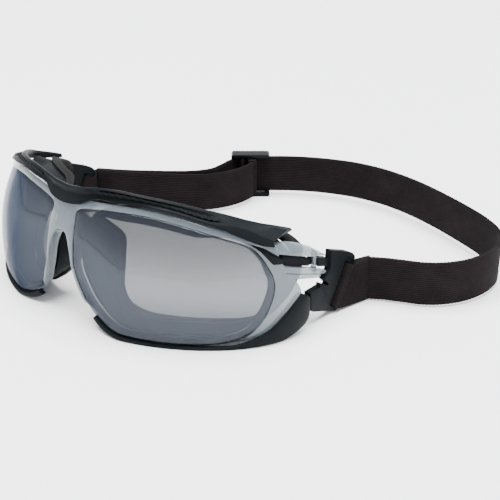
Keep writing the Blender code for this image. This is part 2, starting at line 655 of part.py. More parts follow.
def strap_loop(side, hand, tail):
    """Webbing sewn back on itself round the bar of the clip; the tail stands level."""
    x0, x1 = CLIP_IN - FIT, CLIP_OUT + FIT
    r0, r1 = SLOT_W - FIT, SLOT_W + BAR_W + FIT
    t = STRAP_T
    inner = ((0.5, r0), (0.85, r0), (1.0, r0 + 0.5), (1.0, (r0 + r1) / 2), (1.0, r1 - 0.4),
             (0.85, r1), (0.5, r1), (0.15, r1), (0.0, r1 - 0.4), (0.0, (r0 + r1) / 2),
             (0.0, r0 + 0.5), (0.15, r0))
    outer = ((78.2, r0 - t), (x1 + 0.6, r0 - t), (x1 + t, r0 - 0.4), (x1 + t, (r0 + r1) / 2),
             (x1 + t, r1 - 0.3), None, None, None, (x0 - 0.9, r1 + 0.8),
             (x0 - t, (r0 + r1) / 2), (x0 - t, r0 - 0.4), (x0 - 0.6, r0 - t))
    rings = []
    for k, ((share, r), edge) in enumerate(zip(inner, outer)):
        x = x0 + (x1 - x0) * share
        near = [(x, *slant(r, along)) for along in (0.35, SLOT_LEN - 0.35)]
        if edge is None:
            tx, ty = tail[k - 5]
            far = [(tx, ty, strap_low(tx, ty)), (tx, ty, strap_low(tx, ty) + STRAP_W)]
        else:
            far = [(edge[0], *slant(edge[1], along)) for along in (0.35, SLOT_LEN - 0.35)]
        rings.append([near[0], near[1], far[1], far[0]])
    for ring in rings:
        for j, (x, y, z) in enumerate(ring):
            ring[j] = (x, y, max(z, 0.3))
    part("strap_loop_" + hand, *loft(rings, closed=True), material("webbing_" + hand, **WEBBING),
         side)


def slant(across, along):
    """Side-view point (y, z) measured across and along the slanted strap slot of a clip."""
    return (SLOT_Y0 + SLOT_TILT[0] * along + SLOT_TILT[1] * across,
            SLOT_LOW + SLOT_TILT[1] * along - SLOT_TILT[0] * across)


def slider_point(u, n):
    d = Vector(SLIDE_DIR).normalized()
    across = Vector((d.y, -d.x))
    return Vector(SLIDE_AT) + d * u + across * n


def blocks(us, ns, zs, filled):
    """Surface of the filled cells of a rectangular grid laid along the slider."""
    verts, index, faces = [], {}, []

    def corner(i, j, k):
        if (i, j, k) not in index:
            index[i, j, k] = len(verts)
            verts.append((*slider_point(us[i], ns[j]), zs[k]))
        return index[i, j, k]

    for i, j, k in filled:
        for axis in range(3):
            for step in (0, 1):
                beside = [i, j, k]
                beside[axis] += 2 * step - 1
                if tuple(beside) in filled:
                    continue
                p, q = [n for n in range(3) if n != axis]
                face = []
                for a, b in ((0, 0), (1, 0), (1, 1), (0, 1)):
                    at = [i, j, k]
                    at[axis] += step
                    at[p] += a
                    at[q] += b
                    face.append(corner(*at))
                faces.append(face)
    return verts, faces


def slider():
    """Three-bar strap adjuster: two outer bars behind the strap, the middle bar in front."""
    end = SLIDER_L / 2
    us = (-end, -end + 2.4, -1.4, 1.4, end - 2.4, end)
    ns = (-3.2, -1.0, 2.7, 4.4)
    zs = (0.05, SLIDER_RAIL, SLIDER_H - SLIDER_RAIL, SLIDER_H)
    filled = {(i, j, k) for i in range(5) for j in range(3) for k in (0, 2)}
    filled |= {(0, 0, 1), (4, 0, 1), (2, 2, 1)}
    obj = part("strap_slider", *blocks(us, ns, zs, filled),
               material("slider_gloss", (0.02, 0.024, 0.026), 0.0, 0.25))
    soften(obj, 0.4)
    on_joint(obj, (*SLIDE_AT, SLIDER_H / 2))


def slider_hem():
    """End of the webbing turned round the middle bar and rolled."""
    pts = ((-1.0, 5.2), (1.4, 5.1), (2.5, 4.2), (2.6, 2.6), (1.6, 1.75), (-1.5, 1.8),
           (-3.4, 3.2), (-4.6, 5.4))
    path = [tuple(slider_point(u, n)) for u, n in pts]
    part("slider_hem", *ribbon(path, 3, STRAP_T * 0.8), material("webbing_hem", **WEBBING))


front_frame()
brow_bar()
for SIDE, HAND in ((1, "left"), (-1, "right")):
    lens(SIDE, HAND)
    lower_guard(SIDE, HAND)
    brow_vent(SIDE, HAND)
    gasket(SIDE, HAND)
    face_seal(SIDE, HAND)
    nose_pad(SIDE, HAND)
    temple_insert(SIDE, HAND)
    hinge_pin(SIDE, HAND)
    strap_clip(SIDE, HAND)
strap_loop(1, "left", TAIL_LEFT)
strap_loop(-1, "right", TAIL_RIGHT)
part("strap_band", *ribbon(BAND_PATH, 3, STRAP_T), material("webbing_band", **WEBBING))
part("strap_return", *ribbon(RETURN_PATH, 3, STRAP_T), material("webbing_return", **WEBBING))
slider()
slider_hem()
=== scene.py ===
"""Looks of the wrap-round motorcycle goggles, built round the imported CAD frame.

Lengths are millimetres in the drawing's coordinates, and place() turns them into the frame's metres.
The driving dimensions repeat the CAD source's, because this script reads nothing but the frame.
"""

import math

import bmesh
import bpy
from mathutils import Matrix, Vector


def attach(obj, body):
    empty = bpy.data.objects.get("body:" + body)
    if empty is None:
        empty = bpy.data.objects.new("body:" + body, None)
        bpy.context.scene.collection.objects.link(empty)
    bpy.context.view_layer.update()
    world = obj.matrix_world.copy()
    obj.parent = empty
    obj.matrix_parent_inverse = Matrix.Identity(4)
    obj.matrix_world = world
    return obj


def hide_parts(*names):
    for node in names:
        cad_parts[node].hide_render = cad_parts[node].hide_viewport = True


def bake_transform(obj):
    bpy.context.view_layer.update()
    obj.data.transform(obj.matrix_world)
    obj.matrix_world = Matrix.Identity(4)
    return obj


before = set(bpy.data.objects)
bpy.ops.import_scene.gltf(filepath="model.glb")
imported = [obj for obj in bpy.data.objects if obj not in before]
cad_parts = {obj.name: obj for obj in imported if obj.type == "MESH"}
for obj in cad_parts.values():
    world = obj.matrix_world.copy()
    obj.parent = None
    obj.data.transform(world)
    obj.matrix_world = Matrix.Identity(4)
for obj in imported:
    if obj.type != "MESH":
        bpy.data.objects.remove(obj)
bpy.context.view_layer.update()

MM = 0.001
SIDES = ((1, "left"), (-1, "right"))
CENTRE = (19.305, 92.3805)    # middle of the whole object in the drawing's coordinates

# --- wrap-round front surface -------------------------------------------------------------
WRAP_A = 79.0            # half width of the plan ellipse
WRAP_B = 57.0            # depth of the plan ellipse
BULGE_R = 66.5           # vertical bulge radius
BULGE_Z = 13.2           # height of the foremost line: low, because the front leans back
DIP = 5.2                # how far the nose sides fold back
DIP_TOP = 49.0           # height where that fold has died out
DIP_NEAR, DIP_FAR = 9.0, 32.0

# --- lens, rim and mouldings ---------------------------------------------------------------
LENS_T = 2.0             # lens thickness
RIM_LIFT = 0.25          # rim stands proud of the lens by this
POCKET_LIFT = -2.3       # floor of the lens pocket
BACK_LIFT = -3.8         # back of the front moulding
FIT = 0.28               # clearance between neighbouring pieces
LENS_MID = (0.72, 24.0)  # plan angle and height of the lens middle
SEAT = 1.2               # width of the pocket floor round the opening

# Lens edge and outer edge of the moulding, plan angle (rad) and height, clockwise from the bridge.
LENS_EDGE = (
    (0.100, 45.9), (0.200, 47.6), (0.340, 48.4), (0.530, 48.5), (0.724, 47.0), (0.912, 44.2),
    (1.070, 41.5), (1.170, 39.0), (1.230, 35.5), (1.275, 30.8), (1.305, 26.2), (1.305, 21.8),
    (1.272, 16.5), (1.215, 10.2), (1.130, 5.2), (1.020, 2.6), (0.884, 1.8), (0.720, 1.6),
    (0.560, 1.6), (0.400, 2.1), (0.290, 3.9), (0.225, 6.5), (0.170, 11.2), (0.132, 17.5),
    (0.105, 24.0), (0.099, 31.0), (0.096, 37.0), (0.094, 42.0))
RIM_EDGE = (
    (-0.04, 49.3), (0.195, 50.2), (0.340, 50.7), (0.532, 50.7), (0.732, 49.3), (0.926, 46.6),
    (1.105, 43.8), (1.270, 41.0), (1.362, 37.8), (1.372, 32.6), (1.420, 27.4), (1.490, 22.0),
    (1.525, 16.8), (1.490, 8.6), (1.330, 3.4), (1.090, 1.3), (0.890, 0.75), (0.720, 0.55),
    (0.555, 0.55), (0.386, 1.05), (0.270, 2.75), (0.206, 5.5), (0.154, 10.4), (0.117, 16.8),
    (0.088, 24.3), (0.070, 31.0), (0.034, 36.8), (-0.04, 38.4))
RIM_LOW = (15, 21.3)      # control points whose rim hides behind the lower guard
GUARD_HOLD = -1.9        # front of the moulding there

# --- lower guard ---------------------------------------------------------------------------
GUARD_IN = (
    (0.218, 6.0), (0.283, 3.45), (0.394, 1.65),
    (0.560, 1.15), (0.720, 1.15), (0.890, 1.35), (1.040, 2.0), (1.150, 3.6), (1.250, 5.8),
    (1.350, 10.4), (1.440, 14.6), (1.515, 17.3))
GUARD_OUT = (
    (0.195, 4.2), (0.265, 1.7), (0.385, 0.3),
    (0.560, 0.0), (0.720, 0.0), (0.890, 0.0), (1.060, 0.0), (1.200, 0.0), (1.340, 0.3),
    (1.470, 2.2), (1.570, 5.8), (1.574, 14.8))
GUARD_FRONT = (0.6, 1.1, 1.2, 1.2, 1.2, 1.4, 1.9, 2.4, 2.7, 2.8, 2.8, 2.6)
GUARD_BACK = (-1.5, -1.5, -1.5, -1.5, -1.5, -0.6, 0.55, 0.6, 0.6, 0.6, 0.6, 0.6)

# --- brow bar: rim line (plan angle, height) and ridge line (x, y, z) from centre to tip -----
BROW_RIM = (
    (0.00, 47.2), (0.10, 48.0), (0.21, 50.9), (0.35, 51.2), (0.53, 51.2), (0.73, 49.9),
    (0.90, 47.5), (1.01, 45.4), (1.09, 43.2), (1.17, 41.0), (1.26, 38.6), (1.34, 37.4))
BROW_RIDGE = (
    (0.0, 10.6, 54.6), (7.5, 11.0, 55.2), (14.5, 12.0, 56.3), (23.0, 14.0, 56.9),
    (33.5, 18.0, 56.0), (43.0, 23.8, 54.3), (51.0, 30.0, 51.8), (57.5, 36.2, 49.2),
    (61.9, 41.6, 46.8), (64.4, 47.4, 44.2), (66.2, 54.4, 41.4), (67.8, 61.6, 38.4))
BROW_FILL = (1.0, 1.0, 0.25, 0.0, 0.0, 0.0, 0.0, 0.35, 1.0, 1.0, 1.0, 1.0)
BROW_LIP = (3.6, 3.2, 1.0, 0.9, 0.9, 0.9, 1.0, 1.8, 3.0, 3.6, 3.4, 2.2)
BROW_LIFT = 1.7          # front of the brow above the wrap surface
FLAP_LIFT = 0.6          # back of the flap that overlaps the rim
VENT_SPAN = (6, 22)      # stretch of the brow with the vent strip, in thirds of a gap
VENT_H = 0.7             # thickness of the strip
VENT_EDGES = (0.16, 0.86)  # how far across the channel floor its edges lie
BROW_WALL = 2.0          # thickness of the ridge
BROW_DEEP = 1.6          # least depth of the ridge
CHANNEL = 1.1            # depth of the vent channel

# --- temple arms, seen from the side -------------------------------------------------------
ARM_SLOPE = -0.36
ARM_Y0, ARM_Z0 = 57.0, 28.4
ARM_IN = 73.9
WINDOW = 2.1             # half height between the two arms
ARM_UPPER = ((43.0, 2.3, 3.8, 4.6), (47.0, 2.3, 3.9, 5.6), (52.0, 2.3, 3.8, 6.6),
             (58.0, 2.3, 3.7, 6.8), (64.0, 2.4, 3.6, 6.0), (69.0, 2.9, 3.6, 4.8),
             (71.3, 3.0, 3.3, 3.6))
ARM_LOWER = ((43.5, -7.0, -2.3), (48.0, -7.0, -2.3), (54.0, -6.8, -2.3), (62.0, -6.4, -2.3),
             (66.4, -5.9, -2.6), (67.6, -5.0, -2.9), (69.8, -4.6, -2.9), (70.6, -4.1, -3.1))
ARM_GROOVE = ((48.0, -4.9, -4.4), (54.0, -4.9, -4.4), (60.0, -4.9, -4.4), (68.8, -4.9, -4.4))
ARM_CREST = (-1.8, -3.6, -5.0)   # where the domed top climbs, peaks and ends behind the surface
PIN_X, PIN_Y, PIN_R = 76.2, 65.6, 1.15
INSERT = (48.2, 63.0)    # from where to where the soft insert fills the window
FACET = ((1.135, 40.9), (1.275, 37.6), (1.420, 31.6), (1.415, 30.5), (1.315, 31.2), (1.285, 33.4),
         (1.240, 36.8), (1.180, 39.6))   # recess between the lens and the window
FACET_DEEP = 1.2
CLIP_IN, CLIP_OUT = 76.6, 79.8
TONGUE, TONGUE_Y = 1.7, 63.8   # half height of the hook between the arms, and where it starts
SLOT_Y0, SLOT_LOW, SLOT_LEN = 72.9, 3.9, 18.9
SLOT_TILT = (0.493, 0.870)   # the slot leans back as it rises
SLOT_W, BAR_W = 2.7, 3.1

# --- strap and its fittings ---------------------------------------------------------------
STRAP_W = 19.0
STRAP_T = 1.3
STRAP_LOW = 0.45         # lower edge at the clips
STRAP_RISE = 0.022       # lower edge climbs towards the slider
BAND_PATH = (
    (84.0, 93.2), (90.0, 96.6), (97.0, 99.6), (104.0, 102.6), (110.0, 107.2), (115.2, 114.0),
    (118.4, 122.0), (119.6, 130.5), (118.2, 140.5), (112.6, 150.0), (102.5, 157.8),
    (91.2, 163.6), (77.9, 169.4), (64.6, 174.4), (52.3, 178.0), (39.9, 180.2), (28.5, 180.6),
    (18.0, 179.4), (7.6, 176.5), (-1.9, 172.6), (-11.4, 167.4), (-20.0, 161.3), (-29.0, 153.8),
    (-33.0, 149.0), (-34.0, 143.0), (-33.2, 135.0), (-33.6, 128.0), (-38.0, 121.0),
    (-46.0, 114.0), (-56.0, 107.0), (-67.0, 99.9), (-78.8, 93.7))
RETURN_PATH = (
    (-22.8, 148.0), (-22.4, 139.0), (-24.6, 130.0), (-29.6, 121.4), (-37.0, 115.0),
    (-46.0, 109.6), (-56.5, 103.4), (-67.0, 97.4), (-78.0, 92.1))
SLIDE_AT = (-29.0, 153.8)
SLIDE_DIR = (0.770, 0.638)
SLIDER_L, SLIDER_H, SLIDER_RAIL = 20.0, 22.8, 1.35
TAIL_LEFT = ((84.2, 91.8), (83.55, 92.95), (82.9, 94.1))
TAIL_RIGHT = ((79.5, 94.05), (78.85, 92.7), (78.2, 91.35))

# --- face seal ------------------------------------------------------------------------------
FACE_Y, FACE_BOW = 25.0, 0.0070
CHEEK, CHEEK_TOP = 14.0, 28.0   # how far forward the cheeks stand, and where they begin
NASION, NASION_Z, NASION_X = 11.0, 28.0, 26.0   # how the wall narrows at the top of the nose
WALL_T, WALL_IN = 1.6, 0.7      # thickness of the eye cup's wall, and how far inside the lens edge
WALL_LEAST = 2.2                # least depth of that wall
SEAL_T = 4.5
SEAL_FLARE = 1.4         # how much thicker the foam is at the temples
WING_FRONT, WING_CREST, WING_BACK = 3.0, 5.0, 1.2   # rise of the temple wing, front to back
SEAL_OUT = 0.015         # plan angle by which the eye cup widens at the temples
WING_SLANT = 5.0         # how far the foam falls away behind it
GASKET_LIFT = -4.15
NOSE_T = 1.9
NOSE_SPAN = (63, 75)     # stretch of the outline under a nose pad, in thirds of a gap

# --- looks: finer detail than the CAD's -----------------------------------------------------
RIM_CROWN = ((0, 0.0), (0.25, 0.12), (0.5, 0.15), (0.75, 0.1), (1, 0.0))   # across the rim
SEAT_SEEN = 0.35 * SEAT  # pocket floor that shows inside the lens edge
LENS_RINGS = 14          # rings of faces from a lens's edge to its middle
GUARD_FACE = ((0, -0.35), (0.25, -0.05), (0.5, 0.0), (0.8, -0.1), (1, -0.5))   # across the guard
LOWER_TIP = (70.1, -4.1, -3.1)   # the lower arm stops short here, so that the clip swings past it
VENT_RIB = 7             # stations along half a rib of the vent strip
VENT_CLEAR = 0.05        # extra room under the vent strip
NOSE_START = 1.6         # how far behind the wall's front a nose pad begins
NOSE_STOP = 1.0          # and how far before the wall's back it ends
INSERT_IN, INSERT_OUT = -3.2, -0.9    # back and front of the soft insert, behind the surface
PIN_LOW, PIN_HIGH = -3.4, 3.2         # ends of a hinge pin about the arms' middle line
BORE_ROOM = 0.1          # room round a pin in the arms
ARM_BORE, HOOK_BORE = (18.0, 34.0), (15.0, 40.0)   # heights that those round cuts run between
THROAT_OUT, THROAT_FRONT = 85.0, 55.0   # how far the hook's open throat is cut
GROOVE = (-0.6, 2.0)     # bottom and top of the cut for the arms' groove
SHADE_PLATE_EDGE = ((0.97, 0.03), (0.97, 0.33), (0.90, 0.41))   # painted-shade plate in the facet recess: share of outline, height
TONGUE_BACK = 74.0       # where the clip's tongue runs into its plate
TONGUE_INSET = (0.3, 1.6)             # tongue's sides from the arm's back and the clip's front
LOOP_INSET = 0.35        # a sewn loop stays this far from the ends of its slot
LOOP_LEAST = 0.3         # lowest height of a sewn loop
EDGE_WAVE, EDGE_PITCH = 0.10, 1.5     # scalloped selvedge
EDGE_THIN = 0.45         # the selvedge's thickness as a share of the band's
BAND_LEAST = 0.05        # lowest height of the band
WEAVE_CORD, WEAVE_YARN = 0.0009, 0.0011   # between cords and between yarns, in metres
SLIDER_ALONG = (2.4, 1.4)   # width of the end bars, half width of the middle bar
SLIDER_ACROSS = (-3.2, -1.0, 2.7, 4.4)    # end bars lie in the first stretch, middle bar in the last
CORNER_R = 2.3           # corners of the slider
HEM_PATH = ((-1.0, 5.2), (1.4, 5.1), (2.5, 4.2), (2.6, 2.6), (1.6, 1.75), (-1.5, 1.8),
            (-3.4, 3.2), (-4.6, 5.4))     # along and across the slider

# --- studio --------------------------------------------------------------------------------
FLOOR = 6.0              # half width of the floor, in metres
SKY = ((0.0, (1.0, 1.0, 1.0)), (0.16, (0.62, 0.63, 0.65)), (0.36, (0.36, 0.37, 0.39)),
       (0.9, (0.24, 0.25, 0.27)))     # rise of the view direction, tint
SKY_POWER = 3.2
LAMP_AT, LAMP_SIZE, LAMP_POWER = (0.0, 0.05, 3.0), 2.6, 430.0    # metres and watts
CAM_AT = (262.62, -196.16, 179.6)     # in the drawing's millimetres
CAM_AZ, CAM_EL, CAM_LENS = 39.834, 25.019, 66.43    # degrees, degrees, millimetres


def ease(x):
    x = max(0.0, min(1.0, x))
    return x * x * (3.0 - 2.0 * x)


def shell_raw(t, z):
    sag = BULGE_R - math.sqrt(BULGE_R ** 2 - (z - BULGE_Z) ** 2)
    half, deep = WRAP_A - sag, WRAP_B - sag
    turn = math.pi / 2
    if abs(t) <= turn:
        x, y = half * math.sin(t), WRAP_B - deep * math.cos(t)
    else:
        x, y = math.copysign(half, t), WRAP_B + WRAP_A * (abs(t) - turn)
    fold = 1.0 - ease((abs(x) - DIP_NEAR) / (DIP_FAR - DIP_NEAR))
    return Vector((x, y + DIP * max(0.0, 1.0 - z / DIP_TOP) * fold, z))


def shell(t, z, lift=0.0):
    """Point of the wrap-round surface at plan angle t and height z, lifted outwards."""
    step = 0.01
    along = shell_raw(t + step, z) - shell_raw(t - step, z)
    upward = shell_raw(t, z + 0.5) - shell_raw(t, z - 0.5)
    return shell_raw(t, z) + along.cross(upward).normalized() * lift


def smooth(points, per, closed=False):
    """Catmull-Rom curve through points of any dimension, per samples to each gap."""
    pts = [Vector(p) for p in points]
    count = len(pts)
    out = []
    for i in range(count if closed else count - 1):
        quad = []
        for k in (i - 1, i, i + 1, i + 2):
            quad.append(pts[k % count] if closed else pts[max(0, min(count - 1, k))])
        a, b, c, d = quad
        for j in range(per):
            s = j / per
            out.append(0.5 * (2 * b + (c - a) * s + (2 * a - 5 * b + 4 * c - d) * s ** 2
                              + (3 * b - 3 * c + d - a) * s ** 3))
    if not closed:
        out.append(pts[-1])
    return out


def grow(outline, by):
    """Move a closed outline in (plan angle, height) outwards by a distance in millimetres."""
    pts = [Vector((p[0] * WRAP_A, p[1])) for p in outline]
    out = []
    for i, p in enumerate(pts):
        run = (pts[(i + 1) % len(pts)] - pts[i - 1]).normalized()
        q = p + Vector((-run.y, run.x)) * by
        out.append((q.x / WRAP_A, q.y))
    return out


def between(a, b, share):
    """Point of (plan angle, height) that lies a share of the way from a to b."""
    return a[0] + (b[0] - a[0]) * share, a[1] + (b[1] - a[1]) * share


def tube_faces(stations, ring, closed):
    """Quads round a loft of rings; an open loft gets flat end caps."""
    faces = []
    for i in range(stations if closed else stations - 1):
        j = (i + 1) % stations
        for k in range(ring):
            m = (k + 1) % ring
            faces.append((i * ring + k, i * ring + m, j * ring + m, j * ring + k))
    if not closed:
        faces.append(tuple(range(ring)))
        faces.append(tuple(range((stations - 1) * ring, stations * ring)))
    return faces


def loft(rings, closed=False):
    verts = [p for ring in rings for p in ring]
    return verts, tube_faces(len(rings), len(rings[0]), closed)


def disc(outline, middle, front, back, bands):
    """A curved plate: rings from the outline to its middle, on the front and on the back."""
    count = len(outline)
    verts, faces = [], []
    for lift in (front, back):
        for share in bands:
            verts += [shell(*between(middle, q, share), lift) for q in outline]
        verts.append(shell(*middle, lift))
    half = len(bands) * count + 1
    for base in (0, half):
        for b in range(len(bands) - 1):
            for i in range(count):
                j = (i + 1) % count
                low, high = base + b * count, base + (b + 1) * count
                faces.append((low + i, low + j, high + j, high + i))
        last = base + (len(bands) - 1) * count
        for i in range(count):
            faces.append((last + i, last + (i + 1) % count, base + half - 1))
    for i in range(count):
        j = (i + 1) % count
        faces.append((i, j, half + j, half + i))
    return verts, faces


def prism(outline, x0, x1):
    """Side-view outline (y, z) given thickness between two x planes."""
    rings = [[(x0, y, z) for y, z in outline], [(x1, y, z) for y, z in outline]]
    return loft(rings)


def lists(bm):
    """Vertices and faces of a primitive, which is then let go."""
    verts = [v.co.copy() for v in bm.verts]
    faces = [[v.index for v in f.verts] for f in bm.faces]
    bm.free()
    return verts, faces


def box(x0, x1, y0, y1, z0, z1):
    bm = bmesh.new()
    bmesh.ops.create_cube(bm, size=1.0)
    middle = Vector(((x0 + x1) / 2, (y0 + y1) / 2, (z0 + z1) / 2))
    for v in bm.verts:
        v.co = middle + Vector((v.co.x * (x1 - x0), v.co.y * (y1 - y0), v.co.z * (z1 - z0)))
    return lists(bm)


def rod(x, y, radius, z0, z1, count=24):
    bm = bmesh.new()
    bmesh.ops.create_cone(bm, cap_ends=True, segments=count, radius1=radius, radius2=radius,
                          depth=z1 - z0)
    bmesh.ops.translate(bm, verts=bm.verts, vec=(x, y, (z0 + z1) / 2))
    return lists(bm)


def arm_z(y, above=0.0):
    return ARM_Z0 + ARM_SLOPE * (y - ARM_Y0) + above


def arm(rows, back=-3.6, front=0.1):
    """One temple arm: stations of (y, lower edge, upper edge) about the sloping middle line."""
    rings = []
    for y, low, high in rows:
        t = arm_t(y)
        mid = arm_z(y, (low + high) / 2)
        rings.append([level(t, arm_z(y, low), back), level(t, arm_z(y, low), front),
                      level(t, mid, front + 0.3 * (front < 1)), level(t, arm_z(y, high), front),
                      level(t, arm_z(y, high), back)])
    return loft(rings)


def level(t, z, lift):
    """Like shell, but the lift keeps to the height asked for."""
    p = shell(t, z, lift)
    return Vector((p.x, p.y, z))


def arm_t(y):
    """Plan angle where the arms' middle line passes depth y."""
    if y >= WRAP_B:
        return math.pi / 2 + (y - WRAP_B) / WRAP_A
    z = arm_z(y)
    sag = BULGE_R - math.sqrt(BULGE_R ** 2 - (z - BULGE_Z) ** 2)
    return math.acos((WRAP_B - y) / (WRAP_B - sag))


def rim_top(t):
    """Height of the upper rim edge at plan angle t."""
    top = RIM_EDGE[1:10]
    if t <= top[0][0]:
        return top[0][1]
    for a, b in zip(top, top[1:]):
        if t <= b[0]:
            return a[1] + (b[1] - a[1]) * (t - a[0]) / (b[0] - a[0])
    return top[-1][1]


def brow_section(rim, ridge, fill, lip):
    """Section of the brow: flap over the rim, vent channel, ridge, and the step that clears the rim."""
    t, low = rim
    foot = shell(t, low, BROW_LIFT)
    lip_top = shell(t, low + lip, BROW_LIFT - 0.25)
    inward = shell(t, low, -1.0) - shell(t, low, 0.0)
    inward.z = 0.0
    inward.normalize()
    top = Vector(ridge)
    front_top = top - inward * (BROW_WALL / 2) + Vector((0, 0, -0.5))
    back_top = top + inward * (BROW_WALL / 2) + Vector((0, 0, -0.4))
    face = (front_top - lip_top).normalized()
    drop = (inward - face * inward.dot(face)).normalized() * CHANNEL * (1.0 - fill)
    floor_out = front_top.lerp(lip_top, 0.8) + drop
    floor_in = front_top.lerp(lip_top, 0.25) + drop
    over = max(rim_top(t) + FIT + 0.1, low + 0.3)
    step_front = shell(t, over, FLAP_LIFT)
    floor_out.z = max(floor_out.z, over + 0.7)
    floor_in.z = max(floor_in.z, over + 0.8)
    back_low = back_top.copy()
    back_low.z = min(over, back_top.z - BROW_DEEP)
    return [foot, lip_top, floor_out, floor_in, front_top, top, back_top, back_low,
            step_front, shell(t, low, FLAP_LIFT)]


def face_y(p):
    """Depth of the face behind a point of the wall, shallow at the cheeks and over the nose."""
    cheek = CHEEK * ease((CHEEK_TOP - p.z) / CHEEK_TOP)
    nasion = NASION * ease((p.z - NASION_Z) / 16.0) * ease((NASION_X - p.x) / 18.0)
    return max(FACE_Y + FACE_BOW * p.x * p.x - cheek - nasion, p.y + WALL_LEAST)


def wing(q):
    """1 where the eye cup rises to the brow at the temple, fading to 0 elsewhere."""
    return ease((q[0] - 0.80) / 0.25) * ease((q[1] - 27.0) / 8.0)


def facet():
    return loft([[shell(*q, lift) for q in FACET] for lift in (-FACET_DEEP, 2.0)])


def domed_arm(rows):
    """Upper arm: a thin outer edge, and a top that climbs to a crest further in."""
    rings = []
    climb, peak, end = ARM_CREST
    for y, low, edge, crest in rows:
        t = arm_t(y)
        rings.append([level(t, arm_z(y, h), lift) for h, lift in (
            (low, end), (low, 0.1), ((low + edge) / 2, 0.35), (edge, 0.1),
            (edge + (crest - edge) * 0.7, climb), (crest, peak), (crest - 0.6, end))])
    return loft(rings)


def strap_low(y):
    """Height of the strap's lower edge: it climbs from the clips to the slider."""
    return STRAP_LOW + STRAP_RISE * max(0.0, y - 93.0)


def slant(across, along):
    """Side-view point (y, z) measured across and along the slanted strap slot of a clip."""
    return (SLOT_Y0 + SLOT_TILT[0] * along + SLOT_TILT[1] * across,
            SLOT_LOW + SLOT_TILT[1] * along - SLOT_TILT[0] * across)


def slider_point(u, n):
    d = Vector(SLIDE_DIR).normalized()
    across = Vector((d.y, -d.x))
    return Vector(SLIDE_AT) + d * u + across * n


def blocks(us, ns, zs, filled):
    """Surface of the filled cells of a rectangular grid laid along the slider."""
    verts, index, faces = [], {}, []

    def corner(i, j, k):
        if (i, j, k) not in index:
            index[i, j, k] = len(verts)
            verts.append((*slider_point(us[i], ns[j]), zs[k]))
        return index[i, j, k]

    for i, j, k in filled:
        for axis in range(3):
            for step in (0, 1):
                beside = [i, j, k]
                beside[axis] += 2 * step - 1
                if tuple(beside) in filled:
                    continue
                p, q = [n for n in range(3) if n != axis]
                face = []
                for a, b in ((0, 0), (1, 0), (1, 1), (0, 1)):
                    at = [i, j, k]
                    at[axis] += step
                    at[p] += a
                    at[q] += b
                    face.append(corner(*at))
                faces.append(face)
    return verts, faces


# --- making pieces -------------------------------------------------------------------------
def place(point, side=1):
    return ((side * point[0] - CENTRE[0]) * MM, (point[1] - CENTRE[1]) * MM, point[2] * MM)


def link(name, data):
    obj = bpy.data.objects.new(name, data)
    bpy.context.scene.collection.objects.link(obj)
    return obj


def mesh_object(name, verts, faces, side=1, uvs=None):
    mesh = bpy.data.meshes.new(name)
    mesh.from_pydata([place(v, side) for v in verts], [], faces)
    if uvs:
        layer = mesh.uv_layers.new(name="UVMap")
        for loop in mesh.loops:
            layer.data[loop.index].uv = uvs[loop.vertex_index]
    bm = bmesh.new()
    bm.from_mesh(mesh)
    bmesh.ops.recalc_face_normals(bm, faces=bm.faces)
    bm.to_mesh(mesh)
    bm.free()
    return link(name, mesh)


def boolean(obj, tool, operation):
    mod = obj.modifiers.new(tool.name, 'BOOLEAN')
    mod.operation = operation
    mod.solver = 'EXACT'
    mod.object = tool
    return tool


def settle(obj, tools=()):
    """Apply the modifiers, drop the tools."""
    bpy.context.view_layer.update()
    graph = bpy.context.evaluated_depsgraph_get()
    mesh = bpy.data.meshes.new_from_object(obj.evaluated_get(graph))
    obj.modifiers.clear()
    obj.data = mesh
    for tool in tools:
        bpy.data.objects.remove(tool, do_unlink=True)


def rounded(obj, width, segments=3, angle=30.0):
    mod = obj.modifiers.new("rounded", 'BEVEL')
    mod.width = width * MM
    mod.segments = segments
    mod.limit_method = 'ANGLE'
    mod.angle_limit = math.radians(angle)


def finish_piece(obj, mat, body, nodes=(), smooth_angle=40.0):
    obj.data.materials.clear()
    obj.data.materials.append(mat)
    for poly in obj.data.polygons:
        poly.use_smooth = True
        poly.material_index = 0
    obj.data.set_sharp_from_angle(angle=math.radians(smooth_angle))
    if body:
        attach(obj, body)
    if nodes:
        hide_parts(*nodes)
    return obj


